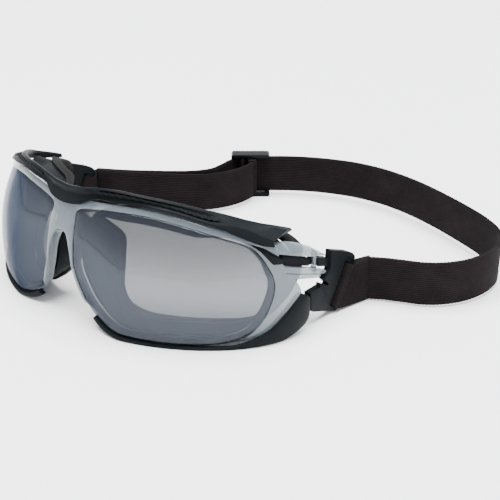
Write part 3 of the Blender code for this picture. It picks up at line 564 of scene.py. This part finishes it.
# --- materials -----------------------------------------------------------------------------
class Shader:
    """A node tree under construction, with short helpers."""

    def __init__(self, name):
        self.mat = bpy.data.materials.new(name)
        self.mat.use_nodes = True
        self.tree = self.mat.node_tree
        self.bsdf = self.tree.nodes["Principled BSDF"]

    def node(self, kind, **values):
        made = self.tree.nodes.new(kind)
        for key, value in values.items():
            if hasattr(made, key):
                setattr(made, key, value)
            else:
                made.inputs[key.replace("_", " ")].default_value = value
        return made

    def link(self, out, into):
        self.tree.links.new(out, into)

    def set(self, **values):
        for key, value in values.items():
            self.bsdf.inputs[key.replace("_", " ")].default_value = value

    def noise(self, scale, detail=4.0):
        at = self.node("ShaderNodeTexCoord")
        made = self.node("ShaderNodeTexNoise", Scale=scale, Detail=detail, Roughness=0.6)
        self.link(at.outputs["Object"], made.inputs["Vector"])
        return made.outputs["Fac"]

    def calc(self, operation, a, b):
        """Node of arithmetic on a socket and either another socket or a number."""
        made = self.node("ShaderNodeMath", operation=operation)
        self.link(a, made.inputs[0])
        if isinstance(b, (int, float)):
            made.inputs[1].default_value = b
        else:
            self.link(b, made.inputs[1])
        return made.outputs[0]

    def wave(self, along, pitch):
        return self.calc('SINE', self.calc('MULTIPLY', along, 2 * math.pi / pitch), 0.0)

    def mix(self, factor, a, b):
        made = self.node("ShaderNodeMix", data_type='FLOAT', Factor=factor)
        self.link(a, made.inputs["A"])
        self.link(b, made.inputs["B"])
        return made.outputs["Result"]

    def ramp(self, fac, *stops):
        made = self.node("ShaderNodeValToRGB")
        points = made.color_ramp.elements
        while len(points) < len(stops):
            points.new(0.5)
        for point, (at, colour) in zip(points, stops):
            point.position = at
            point.color = (*colour, 1.0)
        self.link(fac, made.inputs["Fac"])
        return made.outputs["Color"]

    def bump(self, height, strength, distance):
        made = self.node("ShaderNodeBump", Strength=strength, Distance=distance)
        self.link(height, made.inputs["Height"])
        self.link(made.outputs["Normal"], self.bsdf.inputs["Normal"])


def grey(v):
    return (v, v, v)


def moulded(name, colour, rough, grain=0.10, coat=0.0):
    """Moulded plastic: slight colour drift, fine spark-eroded grain."""
    s = Shader(name)
    low = tuple(c * 0.86 for c in colour)
    high = tuple(min(1.0, c * 1.18) for c in colour)
    s.link(s.ramp(s.noise(55.0), (0.3, low), (0.7, high)), s.bsdf.inputs["Base Color"])
    s.link(s.ramp(s.noise(240.0, 2.0), (0.25, grey(rough - 0.05)), (0.75, grey(rough + 0.06))),
           s.bsdf.inputs["Roughness"])
    s.bump(s.noise(3200.0, 2.0), grain, 0.00004)
    s.set(Coat_Weight=coat, Coat_Roughness=0.12, IOR=1.5, Specular_IOR_Level=0.04)
    return s.mat


def smoke_clear():
    s = Shader("smoke_clear")
    s.link(s.ramp(s.noise(30.0, 2.0), (0.3, (0.092, 0.114, 0.130)), (0.7, (0.118, 0.145, 0.163))),
           s.bsdf.inputs["Base Color"])
    s.link(s.ramp(s.noise(500.0, 2.0), (0.3, grey(0.05)), (0.8, grey(0.10))),
           s.bsdf.inputs["Roughness"])
    s.set(Alpha=0.70, IOR=1.58, Coat_Weight=0.2, Coat_Roughness=0.03)
    return s.mat


def mirror_coat(name):
    """Silver flash coating on smoked plastic, made more opaque, and so darker, towards the top."""
    s = Shader(name)
    s.link(s.ramp(s.noise(18.0, 2.0), (0.35, (0.050, 0.056, 0.068)), (0.65, (0.060, 0.067, 0.080))),
           s.bsdf.inputs["Base Color"])
    s.link(s.ramp(s.noise(700.0, 2.0), (0.3, grey(0.05)), (0.8, grey(0.085))),
           s.bsdf.inputs["Roughness"])
    height = s.node("ShaderNodeSeparateXYZ")
    s.link(s.node("ShaderNodeTexCoord").outputs["Object"], height.inputs["Vector"])
    fade = s.node("ShaderNodeMapRange", From_Min=0.012, From_Max=0.044, To_Min=0.61, To_Max=0.76)
    s.link(height.outputs["Z"], fade.inputs["Value"])
    s.link(fade.outputs["Result"], s.bsdf.inputs["Alpha"])
    s.set(Metallic=0.9, IOR=1.58, Specular_Tint=(0.35, 0.37, 0.42, 1.0))
    return s.mat


def foam(name):
    s = Shader(name)
    s.link(s.ramp(s.noise(900.0, 3.0), (0.35, (0.0048, 0.0048, 0.0045)), (0.7, (0.0125, 0.0125, 0.0117))),
           s.bsdf.inputs["Base Color"])
    s.bump(s.noise(1500.0, 3.0), 0.5, 0.0002)
    s.set(Roughness=0.92, Specular_IOR_Level=0.1)
    return s.mat


def webbing(name):
    """Woven elastic: rubber cords run along the band, covering yarns cross them."""
    s = Shader(name)
    uv = s.node("ShaderNodeUVMap")
    split = s.node("ShaderNodeSeparateXYZ")
    s.link(uv.outputs["UV"], split.inputs["Vector"])
    cords = s.wave(split.outputs["Y"], WEAVE_CORD)
    yarns = s.wave(split.outputs["X"], WEAVE_YARN)
    weave = s.calc('ADD', s.calc('MULTIPLY', s.calc('MULTIPLY', cords, yarns), 0.5), cords)
    lift = s.node("ShaderNodeMapRange", From_Min=-1.5, From_Max=1.5)
    s.link(weave, lift.inputs["Value"])
    cloth = s.mix(0.45, lift.outputs["Result"], s.noise(2600.0, 2.0))
    tone = s.mix(0.3, cloth, s.noise(90.0, 3.0))
    s.link(s.ramp(tone, (0.25, (0.0025, 0.002, 0.0022)), (0.5, (0.007, 0.0052, 0.0058)),
                  (0.78, (0.020, 0.0150, 0.0165))), s.bsdf.inputs["Base Color"])
    s.bump(cloth, 0.6, 0.00025)
    s.set(Roughness=0.88, Sheen_Weight=0.012, Sheen_Roughness=0.5, Specular_IOR_Level=0.04)
    return s.mat


# --- front assembly ------------------------------------------------------------------------
def front_frame(mat):
    per = 6
    lens_edge = smooth(LENS_EDGE, per, closed=True)
    rim = smooth(RIM_EDGE, per, closed=True)
    pocket = grow(lens_edge, FIT)
    opening = grow(lens_edge, -SEAT_SEEN)
    rings = []
    for i, edge in enumerate(rim):
        at = i / per
        low = ease(at - RIM_LOW[0] + 1.0) * ease(RIM_LOW[1] + 1.0 - at)
        front = RIM_LIFT + (GUARD_HOLD - RIM_LIFT) * low
        row = []
        for share, rise in RIM_CROWN:
            row.append(shell(*between(edge, pocket[i], share), front + rise))
        row += [shell(*pocket[i], POCKET_LIFT), shell(*opening[i], POCKET_LIFT),
                shell(*opening[i], BACK_LIFT)]
        for share in (0.33, 0.66, 1.0):
            row.append(shell(*between(opening[i], edge, share), BACK_LIFT))
        rings.append(row)
    obj = mesh_object("smoke_front_frame", *loft(rings, closed=True))
    middle = link("mirror_plane", None)
    middle.location = (-CENTRE[0] * MM, 0.0, 0.0)
    mirror = obj.modifiers.new("both_sides", 'MIRROR')
    mirror.mirror_object = middle
    mirror.use_bisect_axis[0] = True
    mirror.merge_threshold = 0.05 * MM
    settle(obj)
    settle(obj, [tool for side, hand in SIDES for tool in temple_tools(obj, side, hand)])
    rounded(obj, 0.3, 2, 38.0)
    settle(obj)
    bpy.data.objects.remove(middle)
    return finish_piece(obj, mat, "front", ["front_frame"])


def temple_tools(obj, side, hand):
    """Temple arms of one side, joined to the front, and what is cut from them."""
    lower = ARM_LOWER[:-1] + (LOWER_TIP,)
    tools = []
    for name, shape, operation in (
            ("arm_upper_", domed_arm(smooth(ARM_UPPER, 4)), 'UNION'),
            ("arm_lower_", arm(smooth(lower, 4)), 'UNION'),
            ("groove_", arm(smooth(ARM_GROOVE, 4), *GROOVE), 'DIFFERENCE'),
            ("facet_cut_", facet(), 'DIFFERENCE'),
            ("bore_", rod(PIN_X, PIN_Y, PIN_R + BORE_ROOM, *ARM_BORE), 'DIFFERENCE')):
        tools.append(boolean(obj, mesh_object(name + hand, *shape, side), operation))
    return tools


def lens(side, hand):
    edge = smooth(LENS_EDGE, 6, closed=True)
    bands = [1.0 - k / LENS_RINGS for k in range(LENS_RINGS)]
    obj = mesh_object("mirror_lens_" + hand, *disc(edge, LENS_MID, 0.0, -LENS_T, bands), side)
    rounded(obj, 0.25, 2, 50.0)
    settle(obj)
    return finish_piece(obj, mirror_coat("silver_flash_" + hand), "front", ["lens_" + hand])


def lower_guard(side, hand, mat):
    per = 8
    inner, outer = smooth(GUARD_IN, per), smooth(GUARD_OUT, per)
    front = smooth([(v, 0.0) for v in GUARD_FRONT], per)
    back = smooth([(v, 0.0) for v in GUARD_BACK], per)
    rings = []
    for a, b, f, r in zip(inner, outer, front, back):
        ring = [shell(*between(a, b, share), f[0] + rise) for share, rise in GUARD_FACE]
        ring += [shell(*between(a, b, share), r[0]) for share in (1, 0.5, 0)]
        for p in ring:
            p.z = max(p.z, 0.0)
        rings.append(ring)
    obj = mesh_object("satin_guard_" + hand, *loft(rings), side)
    rounded(obj, 0.22, 2, 45.0)
    settle(obj)
    return finish_piece(obj, mat, "front", ["lower_guard_" + hand])


def brow_stations(per=8):
    rim = smooth(BROW_RIM, per)
    ridge = smooth(BROW_RIDGE, per)
    fill = [v[0] for v in smooth([(v, 0.0) for v in BROW_FILL], per)]
    lip = [v[0] for v in smooth([(v, 0.0) for v in BROW_LIP], per)]
    return list(zip(rim, ridge, fill, lip))


def brow_bar(mat):
    half = [brow_section(*s) for s in brow_stations()]
    mirrored = [[Vector((-p.x, p.y, p.z)) for p in ring] for ring in reversed(half[1:])]
    obj = mesh_object("satin_brow", *loft(mirrored + half))
    rounded(obj, 0.28, 2, 40.0)
    settle(obj)
    return finish_piece(obj, mat, "front", ["brow_bar"])


def brow_vent(side, hand, mat):
    """Soft strip with a rib every few millimetres and open slots between."""
    per = 8
    first, last = (n * per // 3 for n in VENT_SPAN)
    span = brow_stations(per)[first + 2:last - 2]   # clear of the channel's ends
    rows = [sum((tuple(p) for p in brow_section(*s)[1:5]), ()) for s in span]
    line = smooth(rows, 6)
    rings = []
    for i, row in enumerate(line):
        lip, out, back, front = (Vector(row[3 * k:3 * k + 3]) for k in range(4))
        up = (lip + front - out - back).normalized()
        wave = math.sin(i * math.pi / VENT_RIB)
        rib = 0.5 + 0.5 * math.copysign(min(1.0, abs(3 * wave)), wave)
        tall = VENT_H * (0.35 + 0.65 * rib)
        a, b = (out.lerp(back, share) + up * (FIT + VENT_CLEAR) for share in VENT_EDGES)
        rings.append([a, a + up * tall * 0.8, a.lerp(b, 0.5) + up * tall, b + up * tall * 0.9, b])
    obj = mesh_object("ribbed_vent_" + hand, *loft(rings), side)
    return finish_piece(obj, mat, "front", ["brow_vent_" + hand])


def seal_rows(inset, per=5):
    rows = grow(smooth(LENS_EDGE[1:], per, closed=True), -inset)
    return [(t + SEAL_OUT * ease((t - 1.0) / 0.25), z) for t, z in rows]


def gasket(side, hand, mat):
    outer, inner = seal_rows(WALL_IN), seal_rows(WALL_IN + WALL_T)
    rings = []
    for o, i in zip(outer, inner):
        rise = wing(o)
        a, b = (shell(t, z + rise * WING_FRONT, GASKET_LIFT) for t, z in (o, i))
        back = face_y(a)
        crest = rise * (WING_CREST - WING_FRONT)
        fall = rise * (WING_BACK - WING_FRONT)
        ring = []
        for p, order in ((a, range(5)), (b, range(4, -1, -1))):
            for k in order:
                s = k / 2
                drop = crest * s if s <= 1.0 else crest + (fall - crest) * (s - 1.0)
                ring.append(Vector((p.x, p.y + (back - p.y) * k / 4, p.z + drop)))
        rings.append(ring)
    obj = mesh_object("gasket_wall_" + hand, *loft(rings, closed=True), side)
    rounded(obj, 0.3, 2, 50.0)
    settle(obj)
    return finish_piece(obj, mat, "front", ["gasket_" + hand])


def face_seal(side, hand, mat):
    outer, inner = seal_rows(WALL_IN - 1.0), seal_rows(WALL_IN + WALL_T + 0.8)
    wall = seal_rows(WALL_IN)
    rings = []
    for o, i, w in zip(outer, inner, wall):
        a, b, c = (shell(*q, GASKET_LIFT) for q in (o, i, w))
        y = face_y(c) + FIT + 0.15
        thick = SEAL_T * (1.0 + SEAL_FLARE * wing(o))
        rise = wing(o)
        ring = []
        for k in range(11):
            turn = math.pi * k / 10
            share = 0.5 - 0.5 * math.cos(turn)
            puff = 0.35 + 0.65 * math.sin(turn) ** 0.5
            lift = rise * (WING_BACK - WING_SLANT * puff)
            ring.append(Vector((a.x + (b.x - a.x) * share, y + thick * puff,
                                a.z + (b.z - a.z) * share + lift)))
        low = rise * WING_BACK
        ring += [Vector((b.x, y, b.z + low)), Vector((a.x, y, a.z + low))]
        rings.append(ring)
    obj = mesh_object("foam_seal_" + hand, *loft(rings, closed=True), side)
    finish_piece(obj, mat, "front", ["face_seal_" + hand], smooth_angle=60)
    return obj


def nose_pad(side, hand, mat):
    per = 5
    wall = seal_rows(WALL_IN, per)
    first, last = (n * per // 3 for n in NOSE_SPAN)
    rings = []
    for i in range(first, last + 1):
        at = shell(*wall[i], GASKET_LIFT)
        run = shell(*wall[i + 1], GASKET_LIFT) - shell(*wall[i - 1], GASKET_LIFT)
        out = Vector((-run.z, 0.0, run.x)).normalized()
        if out.x > 0:
            out.negate()
        front, back = at.y + NOSE_START, face_y(at) - NOSE_STOP
        ends = min(i - first, last - i)
        thick = FIT + NOSE_T * (0.25 + 0.75 * ease(ends / 5.0))
        ring = [Vector((at.x, front, at.z)) + out * FIT]
        for k in range(9):
            y = front + (back - front) * k / 8
            swell = thick * (0.7 + 0.5 * k / 8) * (1.0 if 0 < k < 8 else 0.75)
            ring.append(Vector((at.x, y, at.z)) + out * swell)
        ring.append(Vector((at.x, back, at.z)) + out * FIT)
        rings.append(ring)
    obj = mesh_object("nose_pad_soft_" + hand, *loft(rings), side)
    finish_piece(obj, mat, "front", ["nose_pad_" + hand])
    return obj


def temple_insert(side, hand, mat):
    edge = WINDOW - FIT - 0.05
    rings = []
    count = 12
    for k in range(count + 1):
        y = INSERT[0] + (INSERT[1] - INSERT[0]) * k / count
        end = 1.0 - 0.25 * (abs(2 * k / count - 1)) ** 6
        t = arm_t(y)
        low, high, front = arm_z(y, -edge * end), arm_z(y, edge * end), INSERT_OUT * (2 - end)
        rings.append([level(t, low, INSERT_IN), level(t, high, INSERT_IN), level(t, high, front),
                      level(t, low, front)])
    obj = mesh_object("insert_soft_" + hand, *loft(rings), side)
    rounded(obj, 0.35, 3, 40.0)
    settle(obj)
    return finish_piece(obj, mat, "front", ["temple_insert_" + hand])


def painted_shade_plate(side, hand, mat):
    """Dark glossy plate on the floor of the recess between the lens and the window: painted shade
    standing in for the shadow in the recess.
    """
    middle = [sum(q[k] for q in FACET) / len(FACET) for k in (0, 1)]
    rings = [[shell(*between(middle, q, share), lift - FACET_DEEP) for q in FACET]
             for share, lift in SHADE_PLATE_EDGE]
    obj = mesh_object("painted_shade_plate_" + hand, *loft(rings), side)
    return finish_piece(obj, mat, "front", ())


def hinge_pin(side, hand, mat):
    obj = mesh_object("pin_clear_" + hand,
                      *rod(PIN_X, PIN_Y, PIN_R, arm_z(PIN_Y, PIN_LOW), arm_z(PIN_Y, PIN_HIGH), 32),
                      side)
    rounded(obj, 0.15, 2, 50.0)
    settle(obj)
    return finish_piece(obj, mat, "front", ["hinge_pin_" + hand])


# --- strap fittings ------------------------------------------------------------------------
def clip_outline():
    """Side view of a clip: hook below the arms, notch for their tips, top, strap slot, foot."""
    return (
        (58.9, 20.0), (65.6, 16.9), (70.8, 13.9), (71.3, 14.6), (68.3, 17.5), (72.0, 20.3),
        (72.2, 22.0), (72.6, 28.4), (84.8, 23.6), (87.6, 22.0), (89.3, 20.2), (89.5, 18.9),
        (88.2, 18.6), slant(SLOT_W + BAR_W, SLOT_LEN), slant(SLOT_W + BAR_W, 0.4),
        (77.4, 0.3), (76.4, 0.3), (61.4, 6.0), (59.9, 7.4))


def strap_clip(side, hand, mat):
    obj = mesh_object("hook_clip_" + hand, *prism(clip_outline(), CLIP_IN, CLIP_OUT), side)
    tongue = [(y, arm_z(y, h)) for y, h in (
        (TONGUE_Y, -TONGUE), (TONGUE_Y, TONGUE), (TONGUE_BACK, TONGUE), (TONGUE_BACK, -TONGUE))]
    slot = [slant(0, 0), slant(SLOT_W, 0), slant(SLOT_W, SLOT_LEN), slant(0, SLOT_LEN)]
    grip = PIN_R + FIT
    tools = []
    for name, shape, operation in (
            ("tongue", prism(tongue, ARM_IN + TONGUE_INSET[0], CLIP_OUT - TONGUE_INSET[1]), 'UNION'),
            ("mouth", rod(PIN_X, PIN_Y, grip, *HOOK_BORE), 'DIFFERENCE'),
            ("throat", box(PIN_X - grip, THROAT_OUT, THROAT_FRONT, PIN_Y, *HOOK_BORE), 'DIFFERENCE'),
            ("slot", prism(slot, CLIP_IN - 2, CLIP_OUT + 2), 'DIFFERENCE')):
        tools.append(boolean(obj, mesh_object(name, *shape, side), operation))
    settle(obj, tools)
    rounded(obj, 0.3, 3, 40.0)
    settle(obj)
    return finish_piece(obj, mat, "clip_" + hand, ["strap_clip_" + hand])


def slider(mat):
    """Two rails joined by a bar at each end and a middle bar behind the band, corners rounded."""
    end, (bar, middle) = SLIDER_L / 2, SLIDER_ALONG
    us = (-end, bar - end, -middle, middle, end - bar, end)
    zs = (0.05, SLIDER_RAIL, SLIDER_H - SLIDER_RAIL, SLIDER_H)
    filled = {(i, j, k) for i in range(5) for j in range(3) for k in (0, 2)}
    filled |= {(0, 0, 1), (4, 0, 1), (2, 2, 1)}
    obj = mesh_object("three_bar_slider", *blocks(us, SLIDER_ACROSS, zs, filled))
    across = Vector((SLIDE_DIR[1], -SLIDE_DIR[0], 0.0)).normalized()
    bm = bmesh.new()
    bm.from_mesh(obj.data)
    heights = (zs[0] * MM, zs[3] * MM)
    corners = []
    for edge in bm.edges:
        run = (edge.verts[1].co - edge.verts[0].co).normalized()
        outer = all(min(abs(v.co.z - h) for h in heights) < 0.1 * MM for v in edge.verts)
        if abs(run.dot(across)) > 0.99 and outer and edge.calc_face_angle(0.0) > 1.0:
            corners.append(edge)
    bmesh.ops.bevel(bm, geom=corners, offset=CORNER_R * MM, segments=6, affect='EDGES',
                    profile=0.5, clamp_overlap=True)
    bm.to_mesh(obj.data)
    bm.free()
    rounded(obj, 0.5, 3, 40.0)
    settle(obj)
    return finish_piece(obj, mat, "slider", ["strap_slider"])


# --- webbing -------------------------------------------------------------------------------
def ribbon(path, step=0.45, thick=STRAP_T):
    """Upright woven band: rounded, slightly scalloped edges and a lengthwise waviness."""
    coarse = smooth(path, 24)
    run = [0.0]
    for a, b in zip(coarse, coarse[1:]):
        run.append(run[-1] + (b - a).length)
    count = max(4, int(run[-1] / step))
    line, k = [], 0
    for i in range(count + 1):
        at = run[-1] * i / count
        while k < len(run) - 2 and run[k + 1] < at:
            k += 1
        share = (at - run[k]) / max(1e-9, run[k + 1] - run[k])
        line.append(coarse[k].lerp(coarse[k + 1], min(1.0, share)))
    verts, uvs = [], []
    half = [(1, s) for s in (0.0, 0.02, 0.12, 0.3, 0.5, 0.7, 0.88, 0.98, 1.0)]
    section = half + [(-1, s) for _, s in reversed(half)]
    for i, p in enumerate(line):
        at = run[-1] * i / count
        d = (line[min(i + 1, count)] - line[max(i - 1, 0)]).normalized()
        across = Vector((-d.y, d.x))
        scallop = EDGE_WAVE * math.sin(2 * math.pi * at / EDGE_PITCH)
        for face, share in section:
            edge = EDGE_THIN if share in (0.0, 1.0) else 1.0
            q = p + across * (face * thick / 2 * edge)
            swing = scallop * (1.0 if share > 0.9 else -1.0 if share < 0.1 else 0.0)
            verts.append((q.x, q.y, max(BAND_LEAST, strap_low(p.y) + STRAP_W * share + swing)))
            uvs.append((at * MM, (share * STRAP_W + (STRAP_W + 3 if face < 0 else 0)) * MM))
    return verts, tube_faces(count + 1, len(section), False), uvs, run[-1]


def band_piece(name, path, node, mat):
    verts, faces, uvs, length = ribbon(path)
    obj = mesh_object(name, verts, faces, uvs=uvs)
    finish_piece(obj, mat, "headband", [node], smooth_angle=70)
    return obj


def strap_loop(side, hand, tail, mat):
    """Webbing through a clip's slot, round its bar, and sewn to the end of the band.

    inner follows the hole round the bar as (share of the clip's thickness, distance across the
    slot), outer is the webbing's outside as (x, distance across), and None stands where that
    outside meets the band's end.
    """
    x0, x1 = CLIP_IN - FIT, CLIP_OUT + FIT
    r0, r1 = SLOT_W - FIT, SLOT_W + BAR_W + FIT
    t = STRAP_T
    inner = ((0.5, r0), (0.85, r0), (1.0, r0 + 0.5), (1.0, (r0 + r1) / 2), (1.0, r1 - 0.4),
             (0.85, r1), (0.5, r1), (0.15, r1), (0.0, r1 - 0.4), (0.0, (r0 + r1) / 2),
             (0.0, r0 + 0.5), (0.15, r0))
    outer = ((78.2, r0 - t), (x1 + 0.6, r0 - t), (x1 + t, r0 - 0.4), (x1 + t, (r0 + r1) / 2),
             (x1 + t, r1 - 0.3), None, None, None, (x0 - 0.9, r1 + 0.8),
             (x0 - t, (r0 + r1) / 2), (x0 - t, r0 - 0.4), (x0 - 0.6, r0 - t))
    ends = (LOOP_INSET, SLOT_LEN - LOOP_INSET)
    corners = []
    for k, ((share, r), edge) in enumerate(zip(inner, outer)):
        x = x0 + (x1 - x0) * share
        near = [(x, *slant(r, along)) for along in ends]
        if edge is None:
            tx, ty = tail[k - outer.index(None)]
            far = [(tx, ty, strap_low(ty)), (tx, ty, strap_low(ty) + STRAP_W)]
        else:
            far = [(edge[0], *slant(edge[1], along)) for along in ends]
        corners.append((*near[0], *near[1], *far[1], *far[0]))
    rings, uvs = [], []
    dense = smooth(corners, 5, closed=True)
    for i, row in enumerate(dense):
        quad = [Vector(row[3 * j:3 * j + 3]) for j in range(4)]
        ring = [quad[0].lerp(quad[1], k / 6) for k in range(7)]
        ring += [quad[2].lerp(quad[3], k / 6) for k in range(7)]
        for p in ring:
            p.z = max(p.z, LOOP_LEAST)
        rings.append(ring)
        for k in range(14):
            share = (k if k < 7 else 13 - k) / 6
            uvs.append((i * 0.8 * MM, (share * STRAP_W + (25 if k > 6 else 0)) * MM))
    verts, faces = loft(rings, closed=True)
    obj = mesh_object("sewn_loop_" + hand, verts, faces, side, uvs)
    finish_piece(obj, mat, None, ["strap_loop_" + hand], smooth_angle=50)
    tx, ty = tail[1]
    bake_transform(obj)
    return obj


def slider_hem(mat):
    path = [slider_point(u, n) for u, n in HEM_PATH]
    verts, faces, uvs, length = ribbon(path, step=0.3, thick=STRAP_T * 0.8)
    obj = mesh_object("rolled_hem", verts, faces, uvs=uvs)
    finish_piece(obj, mat, "slider", ["slider_hem"], smooth_angle=70)
    return obj


# --- studio --------------------------------------------------------------------------------
def floor():
    mesh = bpy.data.meshes.new("floor")
    mesh.from_pydata([(-FLOOR, -FLOOR, 0), (FLOOR, -FLOOR, 0), (FLOOR, FLOOR, 0), (-FLOOR, FLOOR, 0)],
                     [], [(0, 1, 2, 3)])
    s = Shader("floor_white")
    s.link(s.ramp(s.noise(3.0, 2.0), (0.3, grey(0.90)), (0.7, grey(0.92))),
           s.bsdf.inputs["Base Color"])
    s.set(Roughness=0.8)
    mesh.materials.append(s.mat)
    link("floor", mesh)


def sky():
    """Bright horizon that dims towards the top, so that the lenses have something to mirror."""
    world = bpy.data.worlds.new("studio")
    bpy.context.scene.world = world
    world.use_nodes = True
    tree = world.node_tree
    back = tree.nodes["Background"]
    coords = tree.nodes.new("ShaderNodeTexCoord")
    split = tree.nodes.new("ShaderNodeSeparateXYZ")
    ramp = tree.nodes.new("ShaderNodeValToRGB")
    tree.links.new(coords.outputs["Generated"], split.inputs["Vector"])
    tree.links.new(split.outputs["Z"], ramp.inputs["Fac"])
    tree.links.new(ramp.outputs["Color"], back.inputs["Color"])
    points = ramp.color_ramp.elements
    points[-1].position = SKY[-1][0]
    for at, _ in SKY[1:-1]:
        points.new(at)
    for point, (_, tint) in zip(points, SKY):
        point.color = (*tint, 1.0)
    back.inputs["Strength"].default_value = SKY_POWER


def lamp():
    data = bpy.data.lights.new("top", 'AREA')
    data.shape = 'SQUARE'
    data.size = LAMP_SIZE
    data.energy = LAMP_POWER
    obj = link("top", data)
    obj.location = LAMP_AT
    obj.rotation_euler = (-Vector(LAMP_AT)).to_track_quat('-Z', 'Y').to_euler()


def camera():
    data = bpy.data.cameras.new("camera")
    data.sensor_width = 36.0
    data.lens = CAM_LENS
    data.clip_start = 0.01
    obj = link("camera", data)
    a, e = math.radians(CAM_AZ), math.radians(CAM_EL)
    back = Vector((math.sin(a) * math.cos(e), -math.cos(a) * math.cos(e), math.sin(e)))
    obj.location = place(CAM_AT)
    obj.rotation_euler = back.to_track_quat('Z', 'Y').to_euler()
    bpy.context.scene.camera = obj


# --- the goggles, piece by piece -----------------------------------------------------------
SATIN_MAT = moulded("satin_black", (0.0050, 0.0062, 0.0071), 0.45)
GLOSS_MAT = moulded("gloss_black", (0.005, 0.006, 0.007), 0.25, grain=0.04, coat=0.04)
RUBBER_MAT = moulded("soft_rubber", (0.0060, 0.0068, 0.0078), 0.6, grain=0.2)
FOAM_MAT = foam("closed_cell_foam")
CLEAR_MAT = smoke_clear()
WEB_MAT = webbing("woven_elastic")

front_frame(CLEAR_MAT)
brow_bar(SATIN_MAT)
for SIDE, HAND in SIDES:
    lens(SIDE, HAND)
    lower_guard(SIDE, HAND, SATIN_MAT)
    brow_vent(SIDE, HAND, RUBBER_MAT)
    gasket(SIDE, HAND, RUBBER_MAT)
    face_seal(SIDE, HAND, FOAM_MAT)
    nose_pad(SIDE, HAND, RUBBER_MAT)
    temple_insert(SIDE, HAND, RUBBER_MAT)
    # a dark plate of painted shade darkens each facet recess
    painted_shade_plate(SIDE, HAND, GLOSS_MAT)
    hinge_pin(SIDE, HAND, CLEAR_MAT)
    strap_clip(SIDE, HAND, SATIN_MAT)
strap_loop(1, "left", TAIL_LEFT, WEB_MAT)
strap_loop(-1, "right", TAIL_RIGHT, WEB_MAT)
band_piece("elastic_band", BAND_PATH, "strap_band", WEB_MAT)
band_piece("elastic_return", RETURN_PATH, "strap_return", WEB_MAT)
slider(GLOSS_MAT)
slider_hem(WEB_MAT)
floor()
sky()
lamp()
camera()
